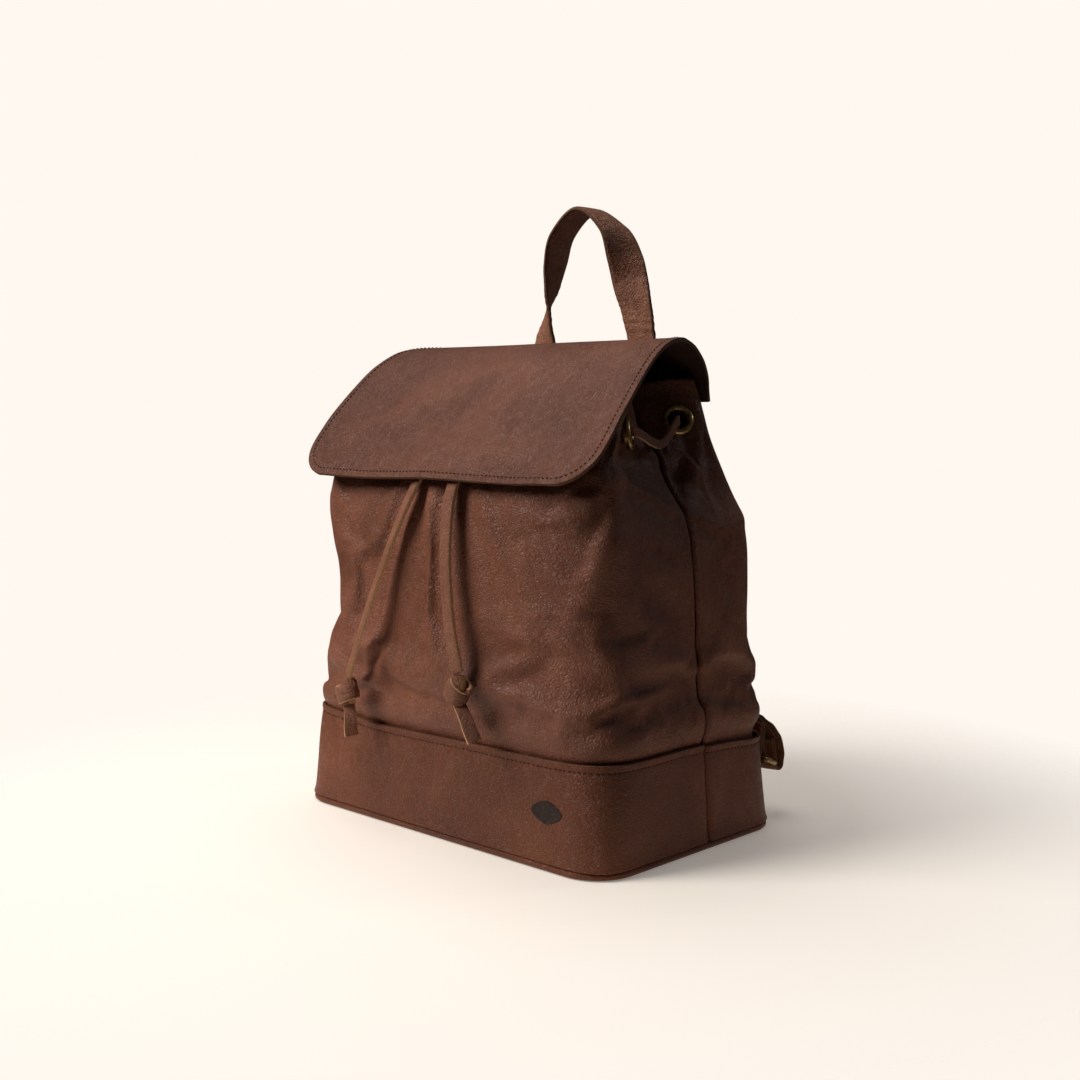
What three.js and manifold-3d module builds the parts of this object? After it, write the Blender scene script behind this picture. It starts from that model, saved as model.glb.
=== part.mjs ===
// Leather drawstring backpack in millimetres: +Z up, front towards -Y, +X to the right from the front.
// The origin is the middle of the base, on the surface that the backpack stands on.
import * as THREE from 'three';
import { mergeVertices } from 'three/addons/utils/BufferGeometryUtils.js';
import Module from 'manifold-3d';

const wasm = await Module();
wasm.setup();

// Driving dimensions
const GAP = 0.4;                       // air left between pieces that touch
const LEATHER = 2.4;                   // body leather
const BASE = { halfX: 146, halfY: 93.5, radius: 29, thickness: 3, board: 2.5 };
const WELT = { width: 4, bottom: 0.4, top: 4.4 };
const BAND = { bottom: WELT.top + GAP, top: 68 };
const SEAM_Y = 13;                     // side seams, a little behind the middle
const PANEL_BOTTOM = 52;               // the body panels run down inside the band
const RIM = { front: 292, back: 300 };
const LINING = { thickness: 0.9, top: 244 };
const FLAP = { thickness: 3, rootHalf: 108, hingeHalf: 112, frontHalf: 133, corner: 28 };
const HINGE = { y: 28, z: 323.6 };     // the line on top of the roll where the flap bends open
const EYELET = { outer: 10.5, hole: 6.2, barrel: 7.2, cut: 7.7, proud: 1, seat: 0.3 };
const STRING = { width: 9.6, thickness: 2.4 };
const HANDLE = { width: 25, thickness: 3, legX: 45, top: 421, fold: 300 };
const STRAP_LENGTH = 215;              // along the middle line, yoke to ring
const STRAP = { thickness: 3, topWidth: 32, endWidth: 22, lowerWidth: 20, lowerThickness: 2.2 };
const BUCKLE = { at: 0.55, halfX: 12.6, halfY: 9.5, wire: 3, step: 3.8 };
const SAG = new THREE.Vector3(108, 6, 257);       // lowest place of the string across the pleat
const TAIL_ROUTES = {                  // from the front eyelets, under the flap, down to the knots
  left: [[-18, -65, 265.3], [-17.8, -69.1, 260.9], [-17.3, -73.3, 256.4], [-15, -86.6, 240], [-15.5, -92.8, 231],
    [-19, -97.5, 219], [-27, -101, 200], [-43, -104, 165],
    [-60, -105, 128], [-71, -106, 100]],
  right: [[18, -65, 265.3], [18, -69.1, 260.9], [18.2, -73.3, 256.4], [19.5, -86.6, 240], [20, -92.8, 231],
    [21, -97.5, 219], [23, -101.2, 204], [25, -104, 180],
    [30, -105.5, 145], [39, -107, 116]],
};
const RING = { x: 118, y: 98.6, z: 40, wire: 1.7, half: 11, depth: 11, tilt: -22 };

const UP = new THREE.Vector3(0, 0, 1);
const ACROSS = new THREE.Vector3(1, 0, 0);
const vec = (x, y, z) => new THREE.Vector3(x, y, z);

const backpack = new THREE.Group();
const leather = (colour) => ({ color: colour, roughness: 0.55, metalness: 0 });
const BRASS = { color: 0x8a6c3c, roughness: 0.35, metalness: 0.9 };
const BROWN = leather(0x6f4b3f);
const DARK = leather(0x4a3024);
const TAN = leather(0x8a6248);

function add(name, geometry, look) {
  const mesh = new THREE.Mesh(geometry, new THREE.MeshStandardMaterial(look));
  mesh.name = name;
  backpack.add(mesh);
  return mesh;
}

// ---- Shape helpers ----------------------------------------------------------------------------

// A smooth function through [position, value] points.
function through(points) {
  const curve = points.map(([at, value]) => vec(at, value, 0));
  return (at) => {
    let i = 0;
    while (i < curve.length - 2 && at > curve[i + 1].x) i += 1;
    const [a, b] = [curve[i], curve[i + 1]];
    const before = curve[Math.max(i - 1, 0)];
    const after = curve[Math.min(i + 2, curve.length - 1)];
    const span = b.x - a.x;
    const t = THREE.MathUtils.clamp((at - a.x) / span, 0, 1);
    const slopeA = (b.y - before.y) / (b.x - before.x) * span;
    const slopeB = (after.y - a.y) / (after.x - a.x) * span;
    const t2 = t * t;
    const t3 = t2 * t;
    return (2 * t3 - 3 * t2 + 1) * a.y + (t3 - 2 * t2 + t) * slopeA
      + (3 * t2 - 2 * t3) * b.y + (t3 - t2) * slopeB;
  };
}

const range = (from, to, steps) => Array.from({ length: steps + 1 }, (_, i) => from + (to - from) * i / steps);

function solidFrom(rows, closedAcross, closedAlong) {
  // rows of loops or strips of points, joined by quads
  const positions = [];
  rows.forEach((row) => row.forEach((p) => positions.push(p.x, p.y, p.z)));
  const width = rows[0].length;
  const index = [];
  const lastRow = closedAlong ? rows.length : rows.length - 1;
  const lastColumn = closedAcross ? width : width - 1;
  for (let i = 0; i < lastRow; i += 1) {
    for (let j = 0; j < lastColumn; j += 1) {
      const a = i * width + j;
      const b = i * width + (j + 1) % width;
      const c = ((i + 1) % rows.length) * width + (j + 1) % width;
      const d = ((i + 1) % rows.length) * width + j;
      index.push(a, b, c, a, c, d);
    }
  }
  return { positions, index, width, rows: rows.length };
}

function asGeometry({ positions, index }) {
  const geometry = new THREE.BufferGeometry();
  geometry.setAttribute('position', new THREE.Float32BufferAttribute(positions, 3));
  geometry.setIndex(index);
  return facingOut(geometry);
}

// Turns a closed body's triangles round when they face inwards.
function facingOut(geometry) {
  const p = geometry.getAttribute('position');
  const index = geometry.getIndex();
  const [a, b, c] = [vec(0, 0, 0), vec(0, 0, 0), vec(0, 0, 0)];
  let volume = 0;
  for (let i = 0; i < index.count; i += 3) {
    a.fromBufferAttribute(p, index.getX(i));
    b.fromBufferAttribute(p, index.getX(i + 1));
    c.fromBufferAttribute(p, index.getX(i + 2));
    volume += a.dot(b.cross(c));
  }
  if (volume < 0) index.array.reverse();
  geometry.computeVertexNormals();
  return geometry;
}

function normalAt(surface, u, v, towards) {
  const step = 0.004;
  const alongU = surface(u + step, v).sub(surface(u - step, v));
  const alongV = surface(u, v + step * 100).sub(surface(u, v - step * 100));
  const normal = alongU.cross(alongV).normalize();
  return normal.dot(towards(surface(u, v))) < 0 ? normal.negate() : normal;
}

const fromMiddle = (p) => vec(p.x, p.y - SEAM_Y, 0);

// A sheet of leather: surface(u, v) is its outer face, and the inner face lies a thickness behind it.
function sheet(surface, us, vs, thickness, towards = fromMiddle, raise = 0) {
  const face = (depth) => vs.map((v) => us.map((u) => (
    surface(u, v).addScaledVector(normalAt(surface, u, v, towards), raise - depth))));
  const outer = face(0);
  const inner = face(thickness);
  // each row becomes a loop: outer face one way and inner face back, then the two ends are closed
  const loops = outer.map((row, i) => [...row, ...inner[i].slice().reverse()]);
  const mesh = solidFrom(loops, true, false);
  const columns = us.length;
  const cap = (start, flip) => {
    for (let j = 0; j < columns - 1; j += 1) {
      const quad = [start + j, start + j + 1, start + 2 * columns - 2 - j, start + 2 * columns - 1 - j];
      if (flip) quad.reverse();
      mesh.index.push(quad[0], quad[1], quad[2], quad[0], quad[2], quad[3]);
    }
  };
  cap(0, true);
  cap((loops.length - 1) * 2 * columns, false);
  return asGeometry(mesh);
}

// Places on a strap's route: position, direction, across and outward normal.
function stations(points, acrossAt, steps, outward) {
  const curve = new THREE.CatmullRomCurve3(points, false, 'centripetal');
  return range(0, 1, steps).map((s) => {
    const position = curve.getPointAt(s);
    const along = curve.getTangentAt(s);
    const across = acrossAt(s).clone().addScaledVector(along, -acrossAt(s).dot(along)).normalize();
    const normal = vec(0, 0, 0).crossVectors(along, across);
    return { s, position, along, across, normal: outward ? normal.multiplyScalar(outward) : normal };
  });
}

// A flat strap swept through its stations, with a width that may change on the way.
function strapSolid(places, widthAt, thickness) {
  const rows = places.map(({ s, position, across, normal }) => {
    const halfWidth = widthAt(s) / 2;
    return [[-1, -1], [1, -1], [1, 1], [-1, 1]].map(([a, b]) => position.clone()
      .addScaledVector(across, a * halfWidth).addScaledVector(normal, b * thickness / 2));
  });
  const mesh = solidFrom(rows, true, false);
  const end = (rows.length - 1) * 4;
  mesh.index.push(0, 2, 1, 0, 3, 2, end, end + 1, end + 2, end, end + 2, end + 3);
  return asGeometry(mesh);
}

// A closed ring of round wire along points in its own plane.
function wireRing(points, wire) {
  const curve = new THREE.CatmullRomCurve3(points, true, 'centripetal');
  const rows = range(0, 1, 28).slice(0, -1).map((s) => {
    const centre = curve.getPointAt(s);
    const side = curve.getTangentAt(s).cross(UP).normalize();
    return range(0, 2 * Math.PI, 8).slice(0, -1).map((angle) => centre.clone()
      .addScaledVector(side, wire * Math.cos(angle)).addScaledVector(UP, wire * Math.sin(angle)));
  });
  return asGeometry(solidFrom(rows, true, true));
}

function toManifold(geometry) {
  const plain = geometry.clone();
  plain.deleteAttribute('normal');
  if (plain.getAttribute('uv')) plain.deleteAttribute('uv');
  const merged = mergeVertices(plain, 1e-4);
  return new wasm.Manifold(new wasm.Mesh({
    numProp: 3,
    vertProperties: new Float32Array(merged.getAttribute('position').array),
    triVerts: new Uint32Array(merged.getIndex().array),
  }));
}

function cutHoles(geometry, cutters) {
  const body = cutters.reduce((rest, cutter) => rest.subtract(toManifold(cutter)), toManifold(geometry));
  const mesh = body.getMesh();
  return asGeometry({ positions: Array.from(mesh.vertProperties), index: Array.from(mesh.triVerts) });
}

// The turn that takes +Z to a direction.
function facing(direction, at) {
  const turn = new THREE.Quaternion().setFromUnitVectors(UP, direction.clone().normalize());
  return new THREE.Matrix4().compose(at, turn, vec(1, 1, 1));
}

function rounded(halfX, halfY, radius, shape = new THREE.Shape()) {
  shape.moveTo(halfX, halfY - radius);
  shape.absarc(halfX - radius, halfY - radius, radius, 0, Math.PI / 2);
  shape.absarc(radius - halfX, halfY - radius, radius, Math.PI / 2, Math.PI);
  shape.absarc(radius - halfX, radius - halfY, radius, Math.PI, 1.5 * Math.PI);
  shape.absarc(halfX - radius, radius - halfY, radius, 1.5 * Math.PI, 2 * Math.PI);
  shape.closePath();
  return shape;
}

function plate(shape, bottom, top) {
  const geometry = new THREE.ExtrudeGeometry(shape, { depth: top - bottom, bevelEnabled: false, curveSegments: 6 });
  return geometry.translate(0, 0, bottom);
}

// ---- The bag's outer shape: a section at each height ----------------------------------------------

const SHAPE = {
  front: {
    sign: -1,
    reach: through([[4, 92.5], [66, 90.5], [110, 95], [160, 98], [205, 96], [232, 89], [250, 75.5],
      [265, 60.5], [283, 42], [292, 33]]),
    halfX: through([[4, 145], [66, 141], [120, 133], [160, 130], [205, 132], [232, 130], [260, 125], [300, 117]]),
    radius: through([[4, 29], [66, 32], [120, 44], [160, 50], [212, 38], [250, 16], [300, 10]]),
    drop: through([[4, 0.5], [66, 2], [120, 5], [200, 5], [240, 3], [300, 2]]),
  },
  back: {
    sign: 1,
    reach: through([[4, 92.5], [66, 91], [150, 92], [190, 90], [211, 85], [240, 68], [262, 57], [285, 53.6], [300, 49.5]]),
    halfX: through([[4, 145], [66, 141], [140, 134], [190, 133], [211, 128], [262, 116], [300, 107]]),
    radius: through([[4, 29], [66, 31], [140, 38], [190, 40], [211, 34], [262, 14], [300, 10]]),
    drop: through([[4, 0.5], [66, 2], [140, 4], [200, 4], [250, 2], [300, 2]]),
  },
};
const seamX = through([[4, 145], [66, 141], [120, 137], [160, 135], [204, 129], [216, 124], [240, 106], [272, 83], [300, 64]]);

// The panels step in behind the band, and come out to the full shape just above it.
const stepIn = (z) => (LEATHER + GAP + 0.2) * (1 - THREE.MathUtils.smoothstep(z, BAND.top + 1, BAND.top + 9));

// A section's outline runs from the middle (u = 0) round the corner to the side seam (u = 1).
const FACE_END = 0.42;
const CORNER_END = 0.66;
function outline(half, inset) {
  const { sign, reach, halfX, radius, drop } = half;
  return (u, z) => {
    const side = Math.sign(u) || 1;
    const t = Math.min(Math.abs(u), 1);
    const back = inset(z);
    const r = radius(z);
    const corner = vec(halfX(z) - back, reach(z) - back - drop(z) * (1 + 2 * r / (halfX(z) - r)), z);
    const faceEnd = vec(corner.x - r, reach(z) - back - drop(z), z);
    const seam = vec(seamX(z) - back, sign * SEAM_Y + GAP, z);
    const sideStart = corner.clone().addScaledVector(seam.clone().sub(corner).normalize(), r);
    let p;
    if (t < FACE_END) {
      const q = t / FACE_END;
      p = vec(faceEnd.x * q, reach(z) - back - drop(z) * q * q, z);
    } else if (t < CORNER_END) {
      const q = (t - FACE_END) / (CORNER_END - FACE_END);
      p = new THREE.QuadraticBezierCurve3(faceEnd, corner, sideStart).getPoint(q);
    } else {
      p = sideStart.lerp(seam, (t - CORNER_END) / (1 - CORNER_END));
    }
    return vec(side * p.x, sign * p.y, z);
  };
}

const halfSteps = [...range(0, FACE_END, 3), ...range(FACE_END, CORNER_END, 4).slice(1), ...range(CORNER_END, 1, 3).slice(1)];
const US = [...halfSteps.slice(1).reverse().map((u) => -u), ...halfSteps];

const panels = { front: outline(SHAPE.front, stepIn), back: outline(SHAPE.back, stepIn) };
const bands = { front: outline(SHAPE.front, () => 0), back: outline(SHAPE.back, () => 0) };

// The place on a face panel at x and z, and its outward normal.
function onFace(half, x, z) {
  const { halfX, radius } = SHAPE[half];
  const u = x / (halfX(z) - stepIn(z) - radius(z)) * FACE_END;
  return { position: panels[half](u, z), normal: normalAt(panels[half], u, z, fromMiddle) };
}

// The place on the pleated side of a panel, from the corner (0) to the seam (1).
function onSide(half, side, q, z) {
  const u = side * (CORNER_END + (1 - CORNER_END) * q);
  return { position: panels[half](u, z), normal: normalAt(panels[half], u, z, fromMiddle) };
}

// ---- Base ---------------------------------------------------------------------------------------

function base() {
  const inner = { x: BASE.halfX - WELT.width - GAP, y: BASE.halfY - WELT.width - GAP, r: BASE.radius - WELT.width };
  add('bottom_panel', plate(rounded(inner.x, inner.y, inner.r), 0, BASE.thickness), DARK);
  const boardBottom = BASE.thickness + GAP;
  add('bottom_board', plate(rounded(inner.x - 5, inner.y - 5, inner.r - 5), boardBottom, boardBottom + BASE.board),
    { color: 0x9b8a72, roughness: 0.9, metalness: 0 });
  const welt = rounded(BASE.halfX, BASE.halfY, BASE.radius);
  welt.holes.push(rounded(inner.x + GAP, inner.y + GAP, inner.r, new THREE.Path()));
  add('bottom_welt', plate(welt, WELT.bottom, WELT.top), DARK);
  for (const half of ['front', 'back']) {
    add(`base_band_${half}`, sheet(bands[half], US, range(BAND.bottom, BAND.top, 3), LEATHER), BROWN);
  }
}

// ---- Body panels, eyelets and drawstring ---------------------------------------------------------

function eyeletPlaces() {
  const places = [];
  for (const [name, side] of [['left', -1], ['right', 1]]) {
    places.push({ name: `front_${name}`, half: 'front', ...onFace('front', side * 18, 263) });
    places.push({ name: `fore_pleat_${name}`, half: 'front', ...onSide('front', side, 0.32, 264) });
    places.push({ name: `rear_pleat_${name}`, half: 'back', ...onSide('back', side, 0.3, 272) });
  }
  return places;
}

// The hole's cutter, and the two that flatten the seats of the collar and the washer.
const disc = (radius, from, to) => new THREE.CylinderGeometry(radius, radius, to - from, 16)
  .rotateX(Math.PI / 2).translate(0, 0, (from + to) / 2);

const BODY_ROWS = [PANEL_BOTTOM, 68, 78, 115, 160, 200, 208, 216, 232, LINING.top];

function bodyPanels(places) {
  const rows = {
    front: [...BODY_ROWS, 256, 268, 280, RIM.front],
    back: [...BODY_ROWS, 262, 278, 288, RIM.back],
  };
  for (const half of ['front', 'back']) {
    const cutters = places.filter((place) => place.half === half).flatMap(({ position, normal }) => [
      disc(EYELET.cut, -12, 12), disc(EYELET.outer + GAP, EYELET.seat, 12),
      disc(EYELET.outer + GAP, -12, -LEATHER - EYELET.seat),
    ].map((cutter) => cutter.applyMatrix4(facing(normal, position))));
    add(`${half}_panel`, cutHoles(sheet(panels[half], US, rows[half], LEATHER), cutters), BROWN);
  }
}

function eyelets(places) {
  const ring = (profile) => new THREE.LatheGeometry(profile.map(([r, z]) => new THREE.Vector2(r, z)), 20)
    .rotateX(Math.PI / 2);
  const { outer, hole, barrel, proud, seat } = EYELET;
  const flangeFoot = seat + GAP;
  const flangeTop = flangeFoot + proud;
  const barrelEnd = -LEATHER - flangeTop;
  for (const { name, position, normal } of places) {
    const collar = ring([[hole, barrelEnd], [barrel, barrelEnd], [barrel, flangeFoot], [outer, flangeFoot],
      [outer - 0.8, flangeTop], [hole, flangeTop], [hole, barrelEnd]]);
    add(`eyelet_${name}`, collar.applyMatrix4(facing(normal, position)), BRASS);
    const washer = ring([[barrel + 0.3, barrelEnd], [outer, barrelEnd], [outer, barrelEnd + proud],
      [barrel + 0.3, barrelEnd + proud], [barrel + 0.3, barrelEnd]]);
    add(`washer_${name}`, washer.applyMatrix4(facing(normal, position)), BRASS);
  }
}

// The lining bag: a cup with one continuous wall that follows the inside of the panels.
function lining() {
  const rows = [BASE.thickness + BASE.board + 2 * GAP + 0.2, ...BODY_ROWS];
  const around = (depth, z, floor) => {
    const pointsOf = (half) => US.map((u) => {
      const surface = panels[half];
      const p = surface(u, z).addScaledVector(normalAt(surface, u, z, fromMiddle), -depth);
      return floor === undefined ? p : p.setZ(floor);
    });
    return [...pointsOf('front'), ...pointsOf('back').reverse()];
  };
  const outerDepth = LEATHER + 1.2;
  const innerDepth = outerDepth + LINING.thickness;
  const floorTop = rows[0] + LINING.thickness;
  const loops = [
    around(outerDepth, rows[0], rows[0]),
    ...rows.slice(1).map((z) => around(outerDepth, z)),
    ...rows.slice(1).reverse().map((z) => around(innerDepth, z)),
    around(innerDepth, rows[0], floorTop),
  ];
  const mesh = solidFrom(loops, true, false);
  const closeFloor = (start, z, flip) => {
    const middle = mesh.positions.length / 3;
    mesh.positions.push(0, 0, z);
    for (let j = 0; j < mesh.width; j += 1) {
      const [a, b] = [start + j, start + (j + 1) % mesh.width];
      mesh.index.push(middle, flip ? a : b, flip ? b : a);
    }
  };
  closeFloor(0, rows[0], false);
  closeFloor((mesh.rows - 1) * mesh.width, floorTop, true);
  add('lining_bag', asGeometry(mesh), { color: 0x6b5a48, roughness: 0.9, metalness: 0 });
}

// ---- Flap ---------------------------------------------------------------------------------------

// The flap's outer profile from its root on the back to the hinge line, and from there to the front
// edge. It stands fuller on the left than on the right.
const ROOT_PROFILE = [[57.5, 284.6], [55.6, 292], [53.6, 301], [47.8, 311], [39, 318.8], [34, 321.6],
  [HINGE.y + 0.4, HINGE.z]];
const FLAP_RIGHT = [[HINGE.y - 0.2, HINGE.z], [20, 324.8], [8, 323], [-4, 318.5], [-15, 311.5], [-29, 300.5], [-48, 282.5],
  [-66, 264], [-82, 248.5], [-95, 234]];
const FLAP_LEFT = [[HINGE.y - 0.2, HINGE.z], [20, 325], [8, 324.8], [-8, 323], [-22, 319], [-39, 309], [-56, 293.5],
  [-76, 272], [-92, 251], [-101, 235.5]];

const profileCurve = (points) => new THREE.CatmullRomCurve3(points.map(([y, z]) => vec(0, y, z)), false, 'centripetal');

function flapSurface(u, v) {
  // u runs across from -1 to 1, v from 0 at the hinge to 100 at the front edge
  const along = THREE.MathUtils.clamp(v / 100, 0, 1);
  const length = flapRight.getLength();
  const rest = (1 - along) * length;
  const corner = FLAP.corner;
  const cut = rest < corner ? corner - Math.sqrt(corner ** 2 - (corner - rest) ** 2) : 0;
  const halfWidth = THREE.MathUtils.lerp(FLAP.hingeHalf, FLAP.frontHalf, along ** 0.8) - cut;
  const fuller = THREE.MathUtils.clamp(0.5 - 0.5 * u, 0, 1);
  const p = flapRight.getPointAt(along).lerp(flapLeft.getPointAt(along), fuller);
  return vec(u * halfWidth, p.y, p.z);
}
const flapRight = profileCurve(FLAP_RIGHT);
const flapLeft = profileCurve(FLAP_LEFT);
const upAndForward = () => vec(0, -0.5, 1);

function flap() {
  const root = profileCurve(ROOT_PROFILE);
  const rootSurface = (u, v) => {
    const t = THREE.MathUtils.clamp(v / 100, 0, 1);
    const p = root.getPointAt(t);
    return vec(u * THREE.MathUtils.lerp(FLAP.rootHalf, FLAP.hingeHalf, t), p.y, p.z);
  };
  const outwards = () => vec(0, 1, 1);
  add('flap_root', sheet(rootSurface, [-1, -0.5, 0, 0.5, 1], range(0, 100, 8), FLAP.thickness, outwards), BROWN);
  const rows = [...range(0, 86, 10), 89, 92, 94.5, 96.5, 98.2, 99.3, 100];
  add('flap', sheet(flapSurface, range(-1, 1, 8), rows, FLAP.thickness, upAndForward), BROWN);
}

// ---- Back yoke and handle -------------------------------------------------------------------------

const YOKE = { half: 64, bottom: 236, top: 283.6, thickness: 2.6 };
const yokeOuter = GAP + 0.3 + YOKE.thickness;

function yoke() {
  const { radius, halfX } = SHAPE.back;
  const surface = (x, z) => panels.back(x / (halfX(z) - radius(z)) * FACE_END, z);
  const step = 2;
  const towards = () => vec(0, 1, 0.2);
  const scaled = (u, v) => surface(u * YOKE.half, YOKE.bottom + (YOKE.top - YOKE.bottom) * v / 100);
  add('back_yoke', sheet(scaled, range(-1, 1, 3 * step), range(0, 100, 6), YOKE.thickness, towards, yokeOuter), DARK);
}

function handle() {
  const { width, thickness, legX, top, fold } = HANDLE;
  for (const [name, side] of [['left', -1], ['right', 1]]) {
    const places = [262, 273, 284, fold - 2 * GAP].map((z) => {
      const { position } = onFace('back', side * legX, Math.min(z, 285));
      const clear = position.y + yokeOuter + GAP + thickness / 2 + (z > 283 ? 2.4 : 0.9);
      return vec(side * legX, clear, z);
    });
    const ends = stations(places, () => ACROSS, 5);
    add(`handle_end_${name}`, strapSolid(ends, () => width, thickness), BROWN);
  }
  const y = handleY;
  const leg = [[legX, y, fold], [46, y, 325], [42, y - 1, 348], [37.5, y - 2, 366], [33, y - 3, 384], [24, y - 5, 404]];
  const points = [...leg.map(([a, b, c]) => vec(-a, b, c)), vec(0, y - 6, top - thickness / 2),
    ...leg.reverse().map(([a, b, c]) => vec(a, b, c))];
  // the strap lies flat on the back at its ends and turns a quarter round by the time it arches over
  const acrossAt = (s) => {
    const turned = THREE.MathUtils.smoothstep(Math.min(s, 1 - s), 0.02, 0.36) * Math.PI / 2;
    const side = s < 0.5 ? -1 : 1;
    return vec(Math.cos(turned), side * Math.sin(turned), 0).multiplyScalar(side);
  };
  add('handle', strapSolid(stations(points, acrossAt, 36), () => width, thickness), BROWN);
}
const handleY = onFace('back', HANDLE.legX, 285).position.y + yokeOuter + GAP + HANDLE.thickness / 2 + 2.4;

// ---- Drawstring ---------------------------------------------------------------------------------

// The held loop: from one front eyelet inside the front, out through the pleat eyelets, round inside
// the back, and the same way to the other front eyelet. The two tails hang outside from there.
function drawstring(places) {
  const at = (name, depth) => {
    const { position, normal } = places.find((place) => place.name === name);
    return position.clone().addScaledVector(normal, depth);
  };
  const inside = -9;
  const crossing = (side) => [at(`fore_pleat_${side}`, inside), at(`fore_pleat_${side}`, 0), at(`fore_pleat_${side}`, 7),
    SAG.clone().setX(side === 'left' ? -SAG.x : SAG.x),
    at(`rear_pleat_${side}`, 7), at(`rear_pleat_${side}`, 0), at(`rear_pleat_${side}`, inside)];
  const front = (side) => {
    const sign = side === 'left' ? -1 : 1;
    const spot = onFace('front', sign * 70, 263);
    return [at(`front_${side}`, -1), at(`front_${side}`, inside),
      spot.position.addScaledVector(spot.normal, inside)];
  };
  const back = onFace('back', 60, 274).position.y - 9;
  const points = [...front('left'), ...crossing('left'), vec(-60, back, 272), vec(0, back, 270), vec(60, back, 272),
    ...crossing('right').reverse(), ...front('right').reverse()];
  const route = stations(points, () => UP, 110);
  add('drawstring_loop', strapSolid(route, () => STRING.thickness * 1.6, STRING.thickness * 1.6), TAN);

  for (const [name, points_] of Object.entries(TAIL_ROUTES)) {
    const route_ = stations(points_.map((p) => vec(...p)), () => ACROSS, 24);
    add(`drawstring_tail_${name}`, strapSolid(route_, () => STRING.width, STRING.thickness), TAN);
    const end = points_.at(-1);
    const knot = new THREE.SphereGeometry(1, 14, 10).scale(10.5, 8, 10);
    add(`knot_${name}`, knot.translate(end[0], end[1] - 0.5, end[2] - 10 - 3 * GAP), TAN);
  }
}

// ---- Shoulder straps ----------------------------------------------------------------------------

// One strap's middle line, right-hand side: from the yoke's lower edge, bowed behind the back, down
// to the ring at the corner of the base.
const STRAP_ROUTE = [[34, 82.5, 234.5], [41, 95, 212], [51, 105, 188], [60, 109, 160], [68, 109.5, 136],
  [76, 108.5, 112], [86, 106, 90], [98, 105, 72], [110, 110.5, 58], [RING.x, 113, 47]];

function strapRoute(side, steps) {
  const points = STRAP_ROUTE.map(([x, y, z]) => vec(side * x, y, z));
  return stations(points, () => ACROSS, steps, -1);
}

// A strap station at any part s of the route, moved outwards by a lift.
function strapStation(route, s, lift) {
  const at = THREE.MathUtils.clamp(s, 0, 1) * (route.length - 1);
  const [low, high] = [route[Math.floor(at)], route[Math.min(Math.floor(at) + 1, route.length - 1)]];
  const share = at - Math.floor(at);
  const normal = low.normal.clone().lerp(high.normal, share).normalize();
  return {
    s,
    position: low.position.clone().lerp(high.position, share).addScaledVector(normal, lift),
    across: low.across.clone().lerp(high.across, share).normalize(),
    along: low.along.clone().lerp(high.along, share).normalize(),
    normal,
  };
}

function shoulderStrap(name, side) {
  const route = strapRoute(side, 200);
  const length = STRAP_LENGTH;
  const mm = (distance) => BUCKLE.at + distance / length;
  const heelGap = BUCKLE.halfY + BUCKLE.wire / 2 + GAP;
  const upper = range(0, mm(-heelGap), 18).map((s) => strapStation(route, s, 0));
  const width = (s) => THREE.MathUtils.lerp(STRAP.topWidth, STRAP.endWidth, Math.min(s / mm(-60), 1));
  add(`strap_upper_${name}`, strapSolid(upper, width, STRAP.thickness), BROWN);

  // the lower strap comes up under the frame's front bar and goes on over its heel bar
  const lift = (distance) => BUCKLE.step * THREE.MathUtils.clamp(-distance / BUCKLE.halfY, -1, 1)
    * (distance > 0 ? Math.min(1, Math.max(0, (40 - distance) / 20)) : 1);
  const lower = [...range(-52, -12, 8), ...range(-BUCKLE.halfY, BUCKLE.halfY, 6), ...range(13, (1 - BUCKLE.at) * length, 16)]
    .map((distance) => strapStation(route, mm(distance), lift(distance)));
  const holes = [-32, 0, 32].map((distance) => {
    const place = strapStation(route, mm(distance - (distance === 0 ? 3.6 : 0)), lift(distance));
    const long = distance === 0 ? 6.4 : 2;
    const cutter = new THREE.CylinderGeometry(2, 2, 14, 10).rotateX(Math.PI / 2).scale(1, long / 2, 1);
    return cutter.applyMatrix4(localFrame(place));
  });
  add(`strap_lower_${name}`, cutHoles(strapSolid(lower, () => STRAP.lowerWidth, STRAP.lowerThickness), holes), BROWN);

  const centre = localFrame(strapStation(route, BUCKLE.at, 0));
  const { halfX, halfY, wire } = BUCKLE;
  const frame = rounded(halfX + wire / 2, halfY + wire / 2, 3);
  frame.holes.push(rounded(halfX - wire / 2, halfY - wire / 2, 2, new THREE.Path()));
  add(`buckle_frame_${name}`, plate(frame, -wire / 2, wire / 2).applyMatrix4(centre), BRASS);
  const prongLine = [[0, halfY - 2.2, 0.2], [0, 3, 1.4], [0, -4, 2.4], [0, -halfY - 1.4, 3.2]].map((p) => vec(...p));
  const prong = stations(prongLine, () => ACROSS, 8);
  add(`buckle_prong_${name}`, strapSolid(prong, () => 2.2, 2).applyMatrix4(centre), BRASS);

  const keeperSide = STRAP.endWidth / 2 + 1.6;
  const loop = new THREE.Shape([[-1, -1], [1, -1], [1, 1], [-1, 1]].map(([a, b]) => (
    new THREE.Vector2(a * (keeperSide + 1.6), 2 + b * 6.1))));
  loop.holes.push(new THREE.Path([[-1, -1], [1, -1], [1, 1], [-1, 1]].map(([a, b]) => (
    new THREE.Vector2(a * keeperSide, 2 + b * 4.5)))));
  const keeper = plate(loop, -4.5, 4.5).rotateX(Math.PI / 2);
  add(`strap_keeper_${name}`, keeper.applyMatrix4(localFrame(strapStation(route, mm(-26), 0))), BROWN);
}

// Across is local X, up the strap is local Y, and outwards is local Z.
function localFrame({ position, across, along, normal }) {
  return new THREE.Matrix4().makeBasis(across.clone().negate(), along.clone().negate(), normal).setPosition(position);
}

// ---- Rings at the corners of the base ----------------------------------------------------------------

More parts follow.
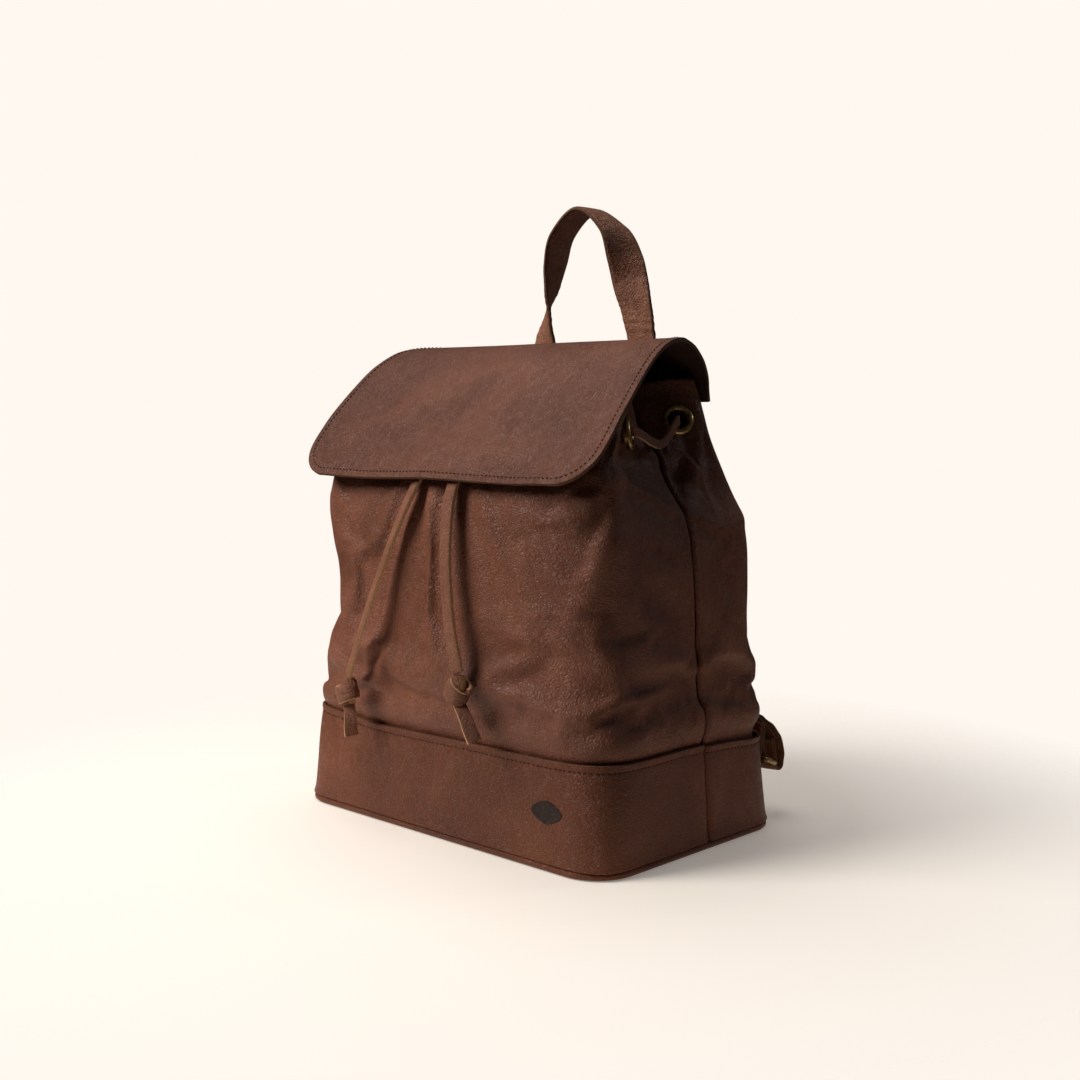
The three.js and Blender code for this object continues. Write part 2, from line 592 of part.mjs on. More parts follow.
function ringAndTab(name, side) {
  const { x, y, z, wire, half, depth, tilt } = RING;
  const outline_ = [[-half, 0], [-half / 2, 0], [half / 2, 0], [half, 0], [half, depth * 0.45],
    [half * 0.72, depth * 1.05], [0, depth * 1.3], [-half * 0.72, depth * 1.05], [-half, depth * 0.45]];
  const ring = wireRing(outline_.map(([a, b]) => vec(a, b, 0)), wire).rotateX(THREE.MathUtils.degToRad(tilt));
  add(`d_ring_${name}`, ring.translate(side * x, y, z), BRASS);

  // the tab's side outline: a plate sewn to the band with a round loop for the ring's bar at its foot
  const tab = new THREE.Shape();
  const outer = wire + 3;
  const plateBack = BASE.halfY + GAP + 0.2;
  tab.moveTo(plateBack, z + 26);
  tab.lineTo(plateBack, z);
  tab.absarc(y, z, outer, Math.PI, 2.5 * Math.PI, false);
  tab.lineTo(y - 1, z + 26);
  tab.closePath();
  tab.holes.push(new THREE.Path().absarc(y, z, wire + 0.6, 0, 2 * Math.PI, true));
  const solid = new THREE.ExtrudeGeometry(tab, { depth: 15, bevelEnabled: false, curveSegments: 12 });
  solid.applyMatrix4(new THREE.Matrix4().makeBasis(vec(0, 1, 0), UP, ACROSS)).translate(side * x - 7.5, 0, 0);
  add(`ring_tab_${name}`, solid, BROWN);
}

base();
const eyeletSpots = eyeletPlaces();
bodyPanels(eyeletSpots);
eyelets(eyeletSpots);
drawstring(eyeletSpots);
lining();
flap();
yoke();
handle();
for (const [name, side] of [['left', -1], ['right', 1]]) {
  shoulderStrap(name, side);
  ringAndTab(name, side);
}

export default backpack;
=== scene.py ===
# A leather drawstring backpack: soft body on a stiffened base, fold-over flap, strap handle, two
# buckled shoulder straps and a flat leather drawstring through antique brass eyelets.
import math
import bpy
from mathutils import Matrix, Vector, noise
from mathutils.bvhtree import BVHTree


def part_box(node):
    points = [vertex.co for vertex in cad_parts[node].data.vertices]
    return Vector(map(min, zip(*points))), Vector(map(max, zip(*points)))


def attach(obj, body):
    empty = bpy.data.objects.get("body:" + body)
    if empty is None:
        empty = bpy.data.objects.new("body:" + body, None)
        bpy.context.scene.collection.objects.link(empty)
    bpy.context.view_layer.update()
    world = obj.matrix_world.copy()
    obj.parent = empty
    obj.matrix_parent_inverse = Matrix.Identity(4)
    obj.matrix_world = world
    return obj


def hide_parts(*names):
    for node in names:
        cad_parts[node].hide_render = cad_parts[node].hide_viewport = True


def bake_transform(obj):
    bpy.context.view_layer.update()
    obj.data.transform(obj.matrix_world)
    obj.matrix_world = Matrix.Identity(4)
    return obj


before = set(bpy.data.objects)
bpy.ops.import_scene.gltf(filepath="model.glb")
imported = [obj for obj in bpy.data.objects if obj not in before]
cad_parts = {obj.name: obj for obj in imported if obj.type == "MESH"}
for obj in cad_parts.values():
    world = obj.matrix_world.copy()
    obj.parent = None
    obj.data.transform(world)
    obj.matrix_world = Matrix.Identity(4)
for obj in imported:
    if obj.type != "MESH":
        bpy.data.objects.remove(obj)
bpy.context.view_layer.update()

MM = 0.001
SIDES = (("left", -1), ("right", 1))

# ---- Camera, studio and floor ----------------------------------------------------------------------
# The camera stands low, in front of the bag's right corner. A big soft key light stands at the left,
# a weaker one above and a thin one behind, and the pale paper floor thins out into the backdrop.
camera = bpy.data.objects.new("camera", bpy.data.cameras.new("camera"))
bpy.context.collection.objects.link(camera)
camera.location = (0.6777, -0.6959, 0.2752)
camera.rotation_euler = (math.radians(84.97), 0, math.radians(43.94))
camera.data.sensor_width = 36
camera.data.lens = 47.12
bpy.context.scene.camera = camera
bpy.context.scene.view_settings.view_transform = "Standard"


def softbox(name, place, width, power, colour):
    light = bpy.data.lights.new(name, "AREA")
    light.shape = "DISK"
    light.size = width
    light.energy = power
    light.color = colour
    lamp = bpy.data.objects.new(name, light)
    lamp.location = place
    lamp.rotation_euler = (Vector((0, 0, 0.2)) - Vector(place)).to_track_quat("-Z", "Y").to_euler()
    bpy.context.collection.objects.link(lamp)


softbox("key", (-0.95, -1.5, 1.5), 1.2, 48, (1.0, 0.965, 0.93))
softbox("top", (-0.45, 0.1, 1.8), 1.3, 12, (1.0, 0.98, 0.96))
softbox("rim", (1.0, 1.7, 1.1), 0.4, 3, (0.96, 0.98, 1.0))


def linear(colour):
    """An sRGB hex colour as the linear RGBA that the shaders take."""
    parts = [int(colour[i:i + 2], 16) / 255 for i in (0, 2, 4)]
    return (*(p / 12.92 if p <= 0.04045 else ((p + 0.055) / 1.055) ** 2.4 for p in parts), 1)


def add_node(tree, kind, inputs=None, **settings):
    """Adds a node with its settings; each input is a value, or a socket to link from."""
    made = tree.nodes.new(kind)
    for key, value in settings.items():
        setattr(made, key, value)
    for key, value in (inputs or {}).items():
        if isinstance(value, bpy.types.NodeSocket):
            tree.links.new(value, made.inputs[key])
        else:
            made.inputs[key].default_value = value
    return made


def new_material(name):
    made = bpy.data.materials.new(name)
    made.use_nodes = True
    made.node_tree.nodes.clear()
    return made, made.node_tree


def finish_material(tree, inputs):
    shader = add_node(tree, "ShaderNodeBsdfPrincipled", inputs)
    add_node(tree, "ShaderNodeOutputMaterial", {"Surface": shader.outputs[0]})


def object_place(tree):
    return add_node(tree, "ShaderNodeTexCoord").outputs["Object"]


def ramp(tree, value, low, high, start=0.0, end=1.0):
    """Maps a value between low and high to one between start and end."""
    return add_node(tree, "ShaderNodeMapRange", {"Value": value, "From Min": low, "From Max": high,
                                                 "To Min": start, "To Max": end}).outputs[0]


# the backdrop is seen at full brightness and lights the bag more weakly
world = bpy.data.worlds.new("studio")
world.use_nodes = True
world_tree = world.node_tree
seen = add_node(world_tree, "ShaderNodeLightPath").outputs["Is Camera Ray"]
backdrop = world_tree.nodes["Background"]
backdrop.inputs["Color"].default_value = linear("fff8f0")
world_tree.links.new(ramp(world_tree, seen, 0.0, 1.0, 0.03, 1.0), backdrop.inputs["Strength"])
bpy.context.scene.world = world

bpy.ops.object.select_all(action="DESELECT")
bpy.ops.mesh.primitive_plane_add(size=12, location=(0, 0, 0))
floor = bpy.context.object
floor.name = "paper_sweep"
bpy.ops.object.mode_set(mode="EDIT")
bpy.ops.mesh.select_all(action="SELECT")
bpy.ops.mesh.subdivide(number_cuts=1)
bpy.ops.object.mode_set(mode="OBJECT")
paper, paper_tree = new_material("matt_cream_paper")
# the paper thins out to the backdrop away from the bag, so that no horizon shows
paper_reach = add_node(paper_tree, "ShaderNodeVectorMath", {0: object_place(paper_tree)},
                       operation="LENGTH").outputs["Value"]
finish_material(paper_tree, {"Base Color": linear("f7eee4"), "Roughness": 0.9, "Specular IOR Level": 0.1,
                             "Emission Color": linear("fff6ec"), "Emission Strength": 0.2,
                             "Alpha": ramp(paper_tree, paper_reach, 0.22, 0.5, 1.0, 0.0)})
floor.data.materials.append(paper)

# ---- Drawstring tails --------------------------------------------------------------------------------
# Two limp tails of flat leather lace, folded over and sewn along one edge, with the pale raw edges
# showing. They hang from the front eyelets, out under the flap, to a knot each.
TAILS = {
    "left": [(-18, -65, 265.3), (-17.8, -69.1, 260.9), (-17.3, -73.3, 256.4), (-15, -86.6, 240),
             (-15.5, -92.8, 231), (-19, -97.5, 219), (-27, -101, 200), (-43, -104, 165),
             (-60, -105, 128), (-71, -106, 100)],
    "right": [(18, -65, 265.3), (18, -69.1, 260.9), (18.2, -73.3, 256.4), (19.5, -86.6, 240),
              (20, -92.8, 231), (21, -97.5, 219), (23, -101.2, 204), (25, -104, 180),
              (30, -105.5, 145), (39, -107, 116)],
}
LACE_WIDTH = 9.6
LACE_THICKNESS = 2.4


def noise_field(tree, place, scale, detail, roughness=0.5, distortion=0.0):
    inputs = {"Vector": place, "Scale": scale, "Detail": detail, "Roughness": roughness,
              "Distortion": distortion}
    return add_node(tree, "ShaderNodeTexNoise", inputs).outputs[0]


def tint(tree, share, first, second):
    """Mixes two colours, each an sRGB hex colour or a socket."""
    first, second = (linear(c) if isinstance(c, str) else c for c in (first, second))
    return add_node(tree, "ShaderNodeMix", {"Factor": share, "A": first, "B": second},
                    data_type="RGBA").outputs[2]


def bump(tree, strength, distance, height, normal=None):
    """Relief from a height field, on top of an earlier relief if one is given."""
    inputs = {"Strength": strength, "Distance": distance, "Height": height}
    if normal is not None:
        inputs["Normal"] = normal
    return add_node(tree, "ShaderNodeBump", inputs).outputs[0]


def leather(name, mid, dark, light, grain, roughness, crease=1.0):
    """Full-grain leather, tumbled and oiled: pebbled grain of a given size in millimetres, with painted
    shade darkening its valleys, fine crossing creases, colour that pulls lighter where it was bent, and a
    low waxy gloss."""
    made, tree = new_material(name)
    place = object_place(tree)
    warp = add_node(tree, "ShaderNodeTexNoise", {"Vector": place, "Scale": 90.0, "Detail": 2.0})
    bent = add_node(tree, "ShaderNodeMix", {"Factor": 0.012, "A": place, "B": warp.outputs["Color"]},
                    data_type="VECTOR")
    cells = add_node(tree, "ShaderNodeTexVoronoi", {"Vector": bent.outputs[1], "Scale": 1000 / grain},
                     feature="DISTANCE_TO_EDGE")
    valley = ramp(tree, cells.outputs["Distance"], 0.0, 0.22)
    creases = noise_field(tree, place, 260.0, 5.0, 0.62, 1.4)
    patches = noise_field(tree, place, 17.0, 4.0, 0.6, 0.6)
    broad = noise_field(tree, place, 5.0, 2.0)
    tone = tint(tree, ramp(tree, patches, 0.35, 0.68), mid, light)
    shaded = tint(tree, ramp(tree, broad, 0.4, 0.7, 0.0, 0.7), tone, dark)
    # painted shade: the grain's valleys are darkened towards the dark colour
    valley_shaded = tint(tree, ramp(tree, valley, 0.0, 1.0, 0.35, 0.0), shaded, dark)
    gloss = ramp(tree, creases, 0.3, 0.7, roughness - 0.07, roughness + 0.1)
    pebbles = bump(tree, 0.62, 0.0005, valley)
    lines = bump(tree, 0.85 * crease, 0.001, creases, pebbles)
    soft = bump(tree, 0.8 * crease, 0.005, patches, lines)
    finish_material(tree, {"Base Color": valley_shaded, "Roughness": gloss, "Normal": soft,
                           "Specular IOR Level": 0.27})
    return made


def raw_edge(name, pale, dark):
    """The cut edge or the flesh side of leather: pale, matt and fibrous."""
    made, tree = new_material(name)
    fibres = noise_field(tree, object_place(tree), 900.0, 4.0, 0.7)
    finish_material(tree, {"Base Color": tint(tree, ramp(tree, fibres, 0.35, 0.7), pale, dark),
                           "Roughness": 0.85, "Normal": bump(tree, 0.5, 0.0004, fibres),
                           "Specular IOR Level": 0.25})
    return made


lace_grain = leather("oiled_lace_leather", "885640", "573222", "a46e52", 1.6, 0.5, 0.8)
lace_edge = raw_edge("raw_lace_edge", "cda27a", "a87a54")


def smooth_path(points, steps):
    """Even steps along a smooth curve through points given in millimetres."""
    dense = []
    last = len(points) - 1
    vectors = [Vector(p) * MM for p in points]
    for i in range(last):
        a, b, c, d = (vectors[max(i - 1, 0)], vectors[i], vectors[i + 1], vectors[min(i + 2, last)])
        for k in range(24):
            t = k / 24
            dense.append(0.5 * (2 * b + (c - a) * t + (2 * a - 5 * b + 4 * c - d) * t * t
                                + (3 * b - a - 3 * c + d) * t ** 3))
    dense.append(vectors[-1])
    reach = [0.0]
    for a, b in zip(dense, dense[1:]):
        reach.append(reach[-1] + (b - a).length)
    path, at = [], 0
    for i in range(steps + 1):
        want = reach[-1] * i / steps
        while at < len(dense) - 2 and reach[at + 1] < want:
            at += 1
        share = (want - reach[at]) / max(reach[at + 1] - reach[at], 1e-9)
        path.append(dense[at].lerp(dense[at + 1], min(max(share, 0), 1)))
    return path


def stations(path, across_at):
    """Position, across and normal at each step of a strap's route."""
    made = []
    for i, p in enumerate(path):
        along = (path[min(i + 1, len(path) - 1)] - path[max(i - 1, 0)]).normalized()
        across = Vector(across_at(i / (len(path) - 1)))
        across = (across - along * across.dot(along)).normalized()
        made.append((p, across, along.cross(across)))
    return made


def grid_faces(rows, count, closed=False):
    """The quads between rows of count points each, open at the sides or closed round."""
    return [(i * count + j, i * count + (j + 1) % count, (i + 1) * count + (j + 1) % count,
             (i + 1) * count + j) for i in range(rows) for j in range(count if closed else count - 1)]


def new_object(name, vertices, faces, materials):
    mesh = bpy.data.meshes.new(name)
    mesh.from_pydata([tuple(v) for v in vertices], [], faces)
    for material in materials:
        mesh.materials.append(material)
    made = bpy.data.objects.new(name, mesh)
    bpy.context.collection.objects.link(made)
    return made


def strap(name, places, width_at, thickness, face, edge, relief=None):
    """A leather strap swept through its stations: crowned grain face, flat back, rounded cut edges.
    relief gives the height in millimetres of its creases, from the share along and the place across."""
    section = [(-1, -0.55), (-1.0, 0.1), (-0.94, 0.8), (-0.8, 1), (-0.4, 1.09), (0, 1.12), (0.4, 1.09),
               (0.8, 1), (0.94, 0.8), (1.0, 0.1), (1, -0.55), (0.93, -1), (0.4, -1), (0, -1), (-0.4, -1),
               (-0.93, -1)]
    count = len(section)
    edge_faces = {j for j in range(count) if min(abs(section[j][0]), abs(section[(j + 1) % count][0])) > 0.9}
    vertices = []
    for i, (p, across, normal) in enumerate(places):
        s = i / (len(places) - 1)
        half = width_at(s) * MM / 2
        for a, b in section:
            height = b * thickness / 2 + (relief(s, a) if relief else 0)
            vertices.append(p + across * a * half + normal * height * MM)
    faces = grid_faces(len(places) - 1, count, closed=True)
    faces.append(tuple(reversed(range(count))))
    faces.append(tuple(range((len(places) - 1) * count, len(places) * count)))
    made = new_object(name, vertices, faces, [face, edge])
    for polygon in made.data.polygons[:-2]:
        polygon.material_index = 1 if polygon.index % count in edge_faces else 0
    tidy_faces(made)
    return made


SHARP = math.radians(50)


def pick(made):
    """Makes one object the only selected one, and the active one."""
    bpy.ops.object.select_all(action="DESELECT")
    made.select_set(True)
    bpy.context.view_layer.objects.active = made


def tidy_faces(made):
    """Turns the faces outwards and shades them smooth up to sharp edges."""
    pick(made)
    bpy.ops.object.mode_set(mode="EDIT")
    bpy.ops.mesh.select_all(action="SELECT")
    bpy.ops.mesh.normals_make_consistent(inside=False)
    bpy.ops.object.mode_set(mode="OBJECT")
    bpy.ops.object.shade_smooth_by_angle(angle=SHARP)


def length_of(path):
    return sum((b - a).length for a, b in zip(path, path[1:]))


tail_pieces = {}
for side, _ in SIDES:
    path = smooth_path(TAILS[side], 60)
    turn = 0.5 if side == "left" else 0.06

    def lace_across(s, turn=turn):
        twist = -turn * math.sin(min(s * 1.6, 1) * math.pi / 2)
        return (math.cos(twist), math.sin(twist), 0)

    tail = strap(f"lace_tail_{side}", stations(path, lace_across), lambda s: LACE_WIDTH,
                 LACE_THICKNESS, lace_grain, lace_edge)
    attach(tail, "bag")
    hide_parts(f"drawstring_tail_{side}")
    tail_pieces[side] = (tail, path)

# ---- Knots -------------------------------------------------------------------------------------------
# Each tail ends in an overhand knot of the same lace, pulled tight: three turns that lie slantwise
# over one another, with a short frayed end that leaves the knot below.
KNOT_TURNS = {
    "left": (Vector((-71, -106.5, 88)), Vector((4, -1, -22)), -0.35),
    "right": (Vector((39, -107.5, 104)), Vector((17, -2, -22)), 0.5),
}


def knot(side, middle, end_step, lean):
    turned = Matrix.Rotation(lean, 3, "Y")
    points = []
    for k in range(33):
        angle = k / 32 * 2.6 * 2 * math.pi
        rise = (0.5 - k / 32) * 8.5 + 1.5 * math.sin(angle * 0.5)
        points.append(middle + turned @ Vector((7.6 * math.cos(angle), 5.4 * math.sin(angle), rise)))
    path = smooth_path(points, 110)

    def knot_across(s):
        tilt = 0.4 * math.sin(s * 9)
        return turned @ Vector((math.sin(tilt) * 0.5, 0.1, 1))

    turns = strap(f"knot_turns_{side}", stations(path, knot_across), lambda s: 6.4 + math.sin(s * 14),
                  2.6, lace_grain, lace_edge)
    core_path = smooth_path([middle + Vector((0, 0, 10.5)), middle + Vector((0.6, 0, 3)),
                             middle + Vector((-0.6, 0, -3)), middle + Vector((1, 0, -8))], 12)
    core = strap(f"knot_core_{side}", stations(core_path, lambda s: (1, 0, 0)),
                 lambda s: 8.6 + 2.4 * math.sin(s * math.pi), 6.0, lace_grain, lace_edge)
    out = middle + Vector((1, 0, -6))
    end_path = smooth_path([out, out + end_step * 0.4 + Vector((2.5, -1.5, 0)),
                            out + end_step * 0.75 + Vector((1, -1, 0)), out + end_step], 24)

    def end_across(s):
        return (math.cos(0.6 + 0.5 * s), math.sin(0.6 + 0.5 * s), 0.15 * s)

    end = strap(f"knot_end_{side}", stations(end_path, end_across), lambda s: 7.5 + 2 * s, 2.0,
                lace_grain, lace_edge)
    pick(turns)
    core.select_set(True)
    end.select_set(True)
    bpy.ops.object.join()
    turns.name = f"lace_knot_{side}"
    return turns


for side, _ in SIDES:
    tied = knot(side, *KNOT_TURNS[side])
    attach(tied, "bag")
    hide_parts(f"knot_{side}")
    tail, path = tail_pieces[side]

# ---- Body panels -----------------------------------------------------------------------------------
# The front and the back of the bag are two pieces of tumbled leather, sewn together down the sides
# and tucked inwards there at the top. One soft shell is made at its sewn shape, its leather is let
# grow a little and settle as cloth between the seams that hold it, and then it is parted at the sides.
SEAM_Y = 13
BAND_TOP = 68
RIM = {"front": 292, "back": 300}
LEATHER = 2.4
BODY_STEP = 3.2
SHELL_FOOT = 52
EYELET_HOLE = 7.8
SETTLING_STEPS = 18
BROAD_SHARE_TAKEN_BACK = 0.85
MOST_SETTLING = 4.0


def through(points):
    """A smooth function through (position, value) points."""
    def value(at):
        i = 0
        while i < len(points) - 2 and at > points[i + 1][0]:
            i += 1
        (ax, ay), (bx, by) = points[i], points[i + 1]
        (px, py), (nx, ny) = points[max(i - 1, 0)], points[min(i + 2, len(points) - 1)]
        span = bx - ax
        t = min(max((at - ax) / span, 0), 1)
        slope_a, slope_b = (by - py) / (bx - px) * span, (ny - ay) / (nx - ax) * span
        return ((2 * t ** 3 - 3 * t * t + 1) * ay + (t ** 3 - 2 * t * t + t) * slope_a
                + (3 * t * t - 2 * t ** 3) * by + (t ** 3 - t * t) * slope_b)
    return value


SHAPE = {
    "front": (-1,
              through([(4, 92.5), (66, 90.5), (110, 95), (160, 98), (205, 96), (232, 89), (250, 75.5),
                       (265, 60.5), (283, 42), (292, 33)]),
              through([(4, 145), (66, 141), (120, 133), (160, 130), (205, 132), (232, 130),
                       (260, 125), (300, 117)]),
              through([(4, 29), (66, 32), (120, 44), (160, 50), (212, 38), (250, 16), (300, 10)]),
              through([(4, 0.5), (66, 2), (120, 5), (200, 5), (240, 3), (300, 2)])),
    "back": (1,
             through([(4, 92.5), (66, 91), (150, 92), (190, 90), (211, 85), (240, 68), (262, 57),
                      (285, 53.6), (300, 49.5)]),
             through([(4, 145), (66, 141), (140, 136), (190, 135), (211, 130), (262, 116), (300, 107)]),
             through([(4, 29), (66, 31), (140, 36), (190, 32), (211, 24), (262, 14), (300, 10)]),
             through([(4, 0.5), (66, 2), (140, 4), (200, 4), (250, 2), (300, 2)])),
}
seam_x = through([(4, 145), (66, 141), (120, 137), (160, 135), (204, 129), (216, 124), (240, 106),
                  (272, 83), (300, 64)])
FACE_END, CORNER_END = 0.42, 0.66


def smoothstep(low, high, value):
    t = min(max((value - low) / (high - low), 0), 1)
    return t * t * (3 - 2 * t)


def on_bag(half, u, z, inset=0.0):
    """A place on the bag's outside in millimetres: u runs from the middle (0) to a side seam (1)."""
    sign, reach_at, half_x, radius_at, drop_at = SHAPE[half]
    side = -1 if u < 0 else 1
    t = min(abs(u), 1)
    radius, drop, reach = radius_at(z), drop_at(z), reach_at(z) - inset
    corner = Vector((half_x(z) - inset, reach - drop * (1 + 2 * radius / (half_x(z) - radius)), z))
    face_end = Vector((corner.x - radius, reach - drop, z))
    seam = Vector((seam_x(z) - inset, sign * SEAM_Y, z))
    side_start = corner + (seam - corner).normalized() * radius
    if t < FACE_END:
        q = t / FACE_END
        p = Vector((face_end.x * q, reach - drop * q * q, z))
    elif t < CORNER_END:
        q = (t - FACE_END) / (CORNER_END - FACE_END)
        p = face_end * (1 - q) ** 2 + corner * 2 * q * (1 - q) + side_start * q * q
    else:
        p = side_start.lerp(seam, (t - CORNER_END) / (1 - CORNER_END))
    return Vector((side * p.x, sign * p.y, z))


def step_in(z):
    """The panels run down inside the band, and come out to the full shape just above it."""
    return 3.0 * (1 - smoothstep(BAND_TOP - 1.5, BAND_TOP + 5, z)) - 1.3 * math.exp(-((z - 79) / 6) ** 2)


def body_columns():
    """(half, u) for each column of the shell, once round the bag from the front's middle."""
    per_half = round(225 / BODY_STEP)
    front = [("front", i / per_half) for i in range(per_half)]
    back = [("back", 1 - i / per_half) for i in range(2 * per_half)]
    front_left = [("front", -1 + i / per_half) for i in range(per_half)]
    return front + back + front_left


# each crease: the half it lies on, its two ends as (u, z), its height in millimetres, and its width
CREASES = [
    ("front", (0.40, 238), (0.60, 226), 2.6, 7), ("front", (0.38, 226), (0.56, 233), -2.0, 6),
    ("front", (0.30, 214), (0.52, 219), 1.5, 6), ("front", (0.33, 205), (0.50, 200), -1.5, 7),
    ("front", (0.26, 226), (0.36, 206), 1.2, 6), ("front", (0.46, 212), (0.64, 194), 1.8, 8),
    ("front", (0.20, 150), (0.52, 143), 1.6, 11), ("front", (0.24, 128), (0.50, 133), -1.7, 9),
    ("front", (0.12, 112), (0.40, 106), 1.3, 9), ("front", (0.34, 96), (0.60, 103), 1.6, 9),
    ("front", (0.44, 170), (0.62, 176), -1.4, 9), ("front", (-0.35, 200), (-0.12, 192), 1.3, 9),
    ("front", (-0.45, 140), (-0.2, 150), -1.4, 10), ("front", (-0.5, 105), (-0.25, 98), 1.5, 9),
    ("front", (0.58, 244), (1.02, 217), 6.2, 7), ("front", (0.58, 258), (1.02, 234), -8.5, 10),
    ("front", (0.56, 268), (0.74, 232), 3.0, 8), ("front", (0.70, 262), (0.86, 230), -2.6, 8),
    ("front", (0.66, 186), (0.95, 178), 1.6, 10), ("front", (0.68, 118), (0.96, 108), -1.7, 9),
    ("front", (-0.58, 244), (-1.02, 217), 6.2, 7), ("front", (-0.58, 258), (-1.02, 234), -8.5, 10),
    ("front", (-0.66, 186), (-0.95, 178), 1.6, 10),
    ("back", (1.02, 216), (0.58, 207), 5.2, 8), ("back", (1.02, 233), (0.60, 228), -7.5, 11),
    ("back", (0.92, 262), (0.70, 226), 2.8, 7), ("back", (0.80, 266), (0.62, 232), -2.2, 7),
    ("back", (0.95, 190), (0.62, 182), -1.6, 9), ("back", (0.92, 130), (0.60, 118), 1.6, 10),
    ("back", (-1.02, 216), (-0.58, 207), 5.2, 8), ("back", (-1.02, 233), (-0.60, 228), -7.5, 11),
    ("back", (-0.92, 262), (-0.70, 226), 2.8, 7), ("back", (-0.95, 190), (-0.62, 182), -1.6, 9),
    ("back", (0.10, 200), (0.50, 190), 1.3, 12), ("back", (-0.50, 150), (-0.05, 140), -1.4, 12),
    ("back", (0.15, 112), (0.55, 100), 1.5, 10), ("back", (-0.55, 96), (-0.15, 104), 1.4, 9),
]
SPREAD = 215


def crumple(half, u, z):
    """The soft folds of the worn leather: fading ridges and hollows along the listed lines."""
    total = 0.0
    for name, (ua, za), (ub, zb), height, width in CREASES:
        if name != half:
            continue
        dx, dz = (ub - ua) * SPREAD, zb - za
        px, pz = (u - ua) * SPREAD, z - za
        t = (px * dx + pz * dz) / (dx * dx + dz * dz)
        if not -0.3 < t < 1.3:
            continue
        bend = 4 * math.sin(t * 5 + height)
        off = abs((px * dz - pz * dx) / math.hypot(dx, dz) + bend)
        fade = smoothstep(-0.25, 0.3, t) * (1 - smoothstep(0.7, 1.25, t))
        total += height * fade * math.exp(-(off / width * 1.4) ** 2)
    return total


def make_body_shell():
    columns = body_columns()
    rows = 78
    vertices = []
    for i in range(rows + 1):
        for half, u in columns:
            rise = smoothstep(0.7, 1.0, abs(u)) * 0.5
            top = RIM["front"] + (RIM["back"] - RIM["front"]) * (rise if half == "front" else 1 - rise)
            z = SHELL_FOOT + (top - SHELL_FOOT) * i / rows
            p = on_bag(half, u, z, step_in(z))
            flutter = noise.noise(p * 0.022) * 1.6 + noise.noise(p * 0.05 + Vector((7, 3, 1))) * 0.9
            flutter += crumple(half, u, z)
            hold = smoothstep(74, 96, z) * (1 - 0.8 * smoothstep(265, 290, z))
            outward = Vector((p.x, p.y - SEAM_Y, 0)).normalized()
            vertices.append((p + outward * flutter * hold) * MM)
    faces = grid_faces(rows, len(columns), closed=True)
    return new_object("body_shell", vertices, faces, []), columns, rows


def node_middle(node):
    low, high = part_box(node)
    return (Vector(low) + Vector(high)) / 2


def eyelet_middles():
    return [node_middle(name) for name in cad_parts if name.startswith("eyelet_")]


def settle(shell, columns, rows):
    """Lets the leather grow a little and buckle between its seams, then keeps every point near home."""
    home = [v.co.copy() for v in shell.data.vertices]
    held = shell.vertex_groups.new(name="held")
    eyelets = eyelet_middles()
    around = len(columns)
    for index, p in enumerate(home):
        row, (half, u) = index // around, columns[index % around]
        hold = 1.0 if row > rows - 2 else 1 - smoothstep(0.076, 0.092, p.z)
        hold = max(hold, *(1 - smoothstep(0.012, 0.024, (p - e).length) for e in eyelets))
        hold = max(hold, 0.15 * (1 - smoothstep(0.0, 0.012, abs(abs(u) - 1) * 0.22)))
        if half == "back" and abs(p.x) < 0.068 and p.z > 0.228:
            hold = max(hold, 0.9)
        if hold > 0.01:
            held.add([index], hold, "REPLACE")
    cloth = shell.modifiers.new("cloth", "CLOTH")
    cloth.settings.quality = 6
    cloth.settings.mass = 0.5
    cloth.settings.tension_stiffness = 40
    cloth.settings.compression_stiffness = 40
    cloth.settings.shear_stiffness = 15
    cloth.settings.bending_stiffness = 6
    cloth.settings.vertex_group_mass = "held"
    cloth.settings.shrink_min = -0.035
    cloth.settings.use_pressure = True
    cloth.settings.uniform_pressure_force = 1.2
    cloth.settings.effector_weights.gravity = 0.15
    cloth.collision_settings.use_collision = False
    scene = bpy.context.scene
    for step in range(1, SETTLING_STEPS + 1):
        scene.frame_set(step)
    settled = shell.evaluated_get(bpy.context.evaluated_depsgraph_get()).data
    moved = [v.co.copy() for v in settled.vertices]
    shell.modifiers.clear()
    scene.frame_set(1)
    # the folds are kept, and the broad shift that goes with them is mostly taken back
    steps = [end - start for start, end in zip(home, moved)]
    broad = list(steps)
    for _ in range(10):
        smoothed = []
        for index, step in enumerate(broad):
            row, column = divmod(index, around)
            near = [broad[row * around + (column + shift) % around] for shift in (-2, -1, 1, 2)]
            near += [broad[max(row - 2, 0) * around + column], broad[min(row + 2, rows) * around + column]]
            smoothed.append(sum(near, step) / 7)
        broad = smoothed
    for vertex, start, step, shift in zip(shell.data.vertices, home, steps, broad):
        kept = step - shift * BROAD_SHARE_TAKEN_BACK
        if kept.length > MOST_SETTLING * MM:
            kept *= MOST_SETTLING * MM / kept.length
        vertex.co = start + kept


shell, shell_columns, shell_rows = make_body_shell()
settle(shell, shell_columns, shell_rows)


def apply_modifier(made, kind, **settings):
    """Adds a modifier with its settings and applies it; the object stays picked."""
    added = made.modifiers.new(kind.lower(), kind)
    for key, value in settings.items():
        setattr(added, key, value)
    pick(made)
    bpy.ops.object.modifier_apply(modifier=added.name)


def thicken(made, thickness, slots=(1, 2)):
    """Gives a sheet its thickness inwards, with the material slots of its inner side and its rim."""
    apply_modifier(made, "SOLIDIFY", thickness=thickness * MM, offset=-1, material_offset=slots[0],
                   material_offset_rim=slots[1])


apply_modifier(shell, "SMOOTH", factor=0.5, iterations=2)
shell_points = [v.co.copy() for v in shell.data.vertices]
shell_normals = [Vector(n.vector) for n in shell.data.vertex_normals]
bpy.data.objects.remove(shell)

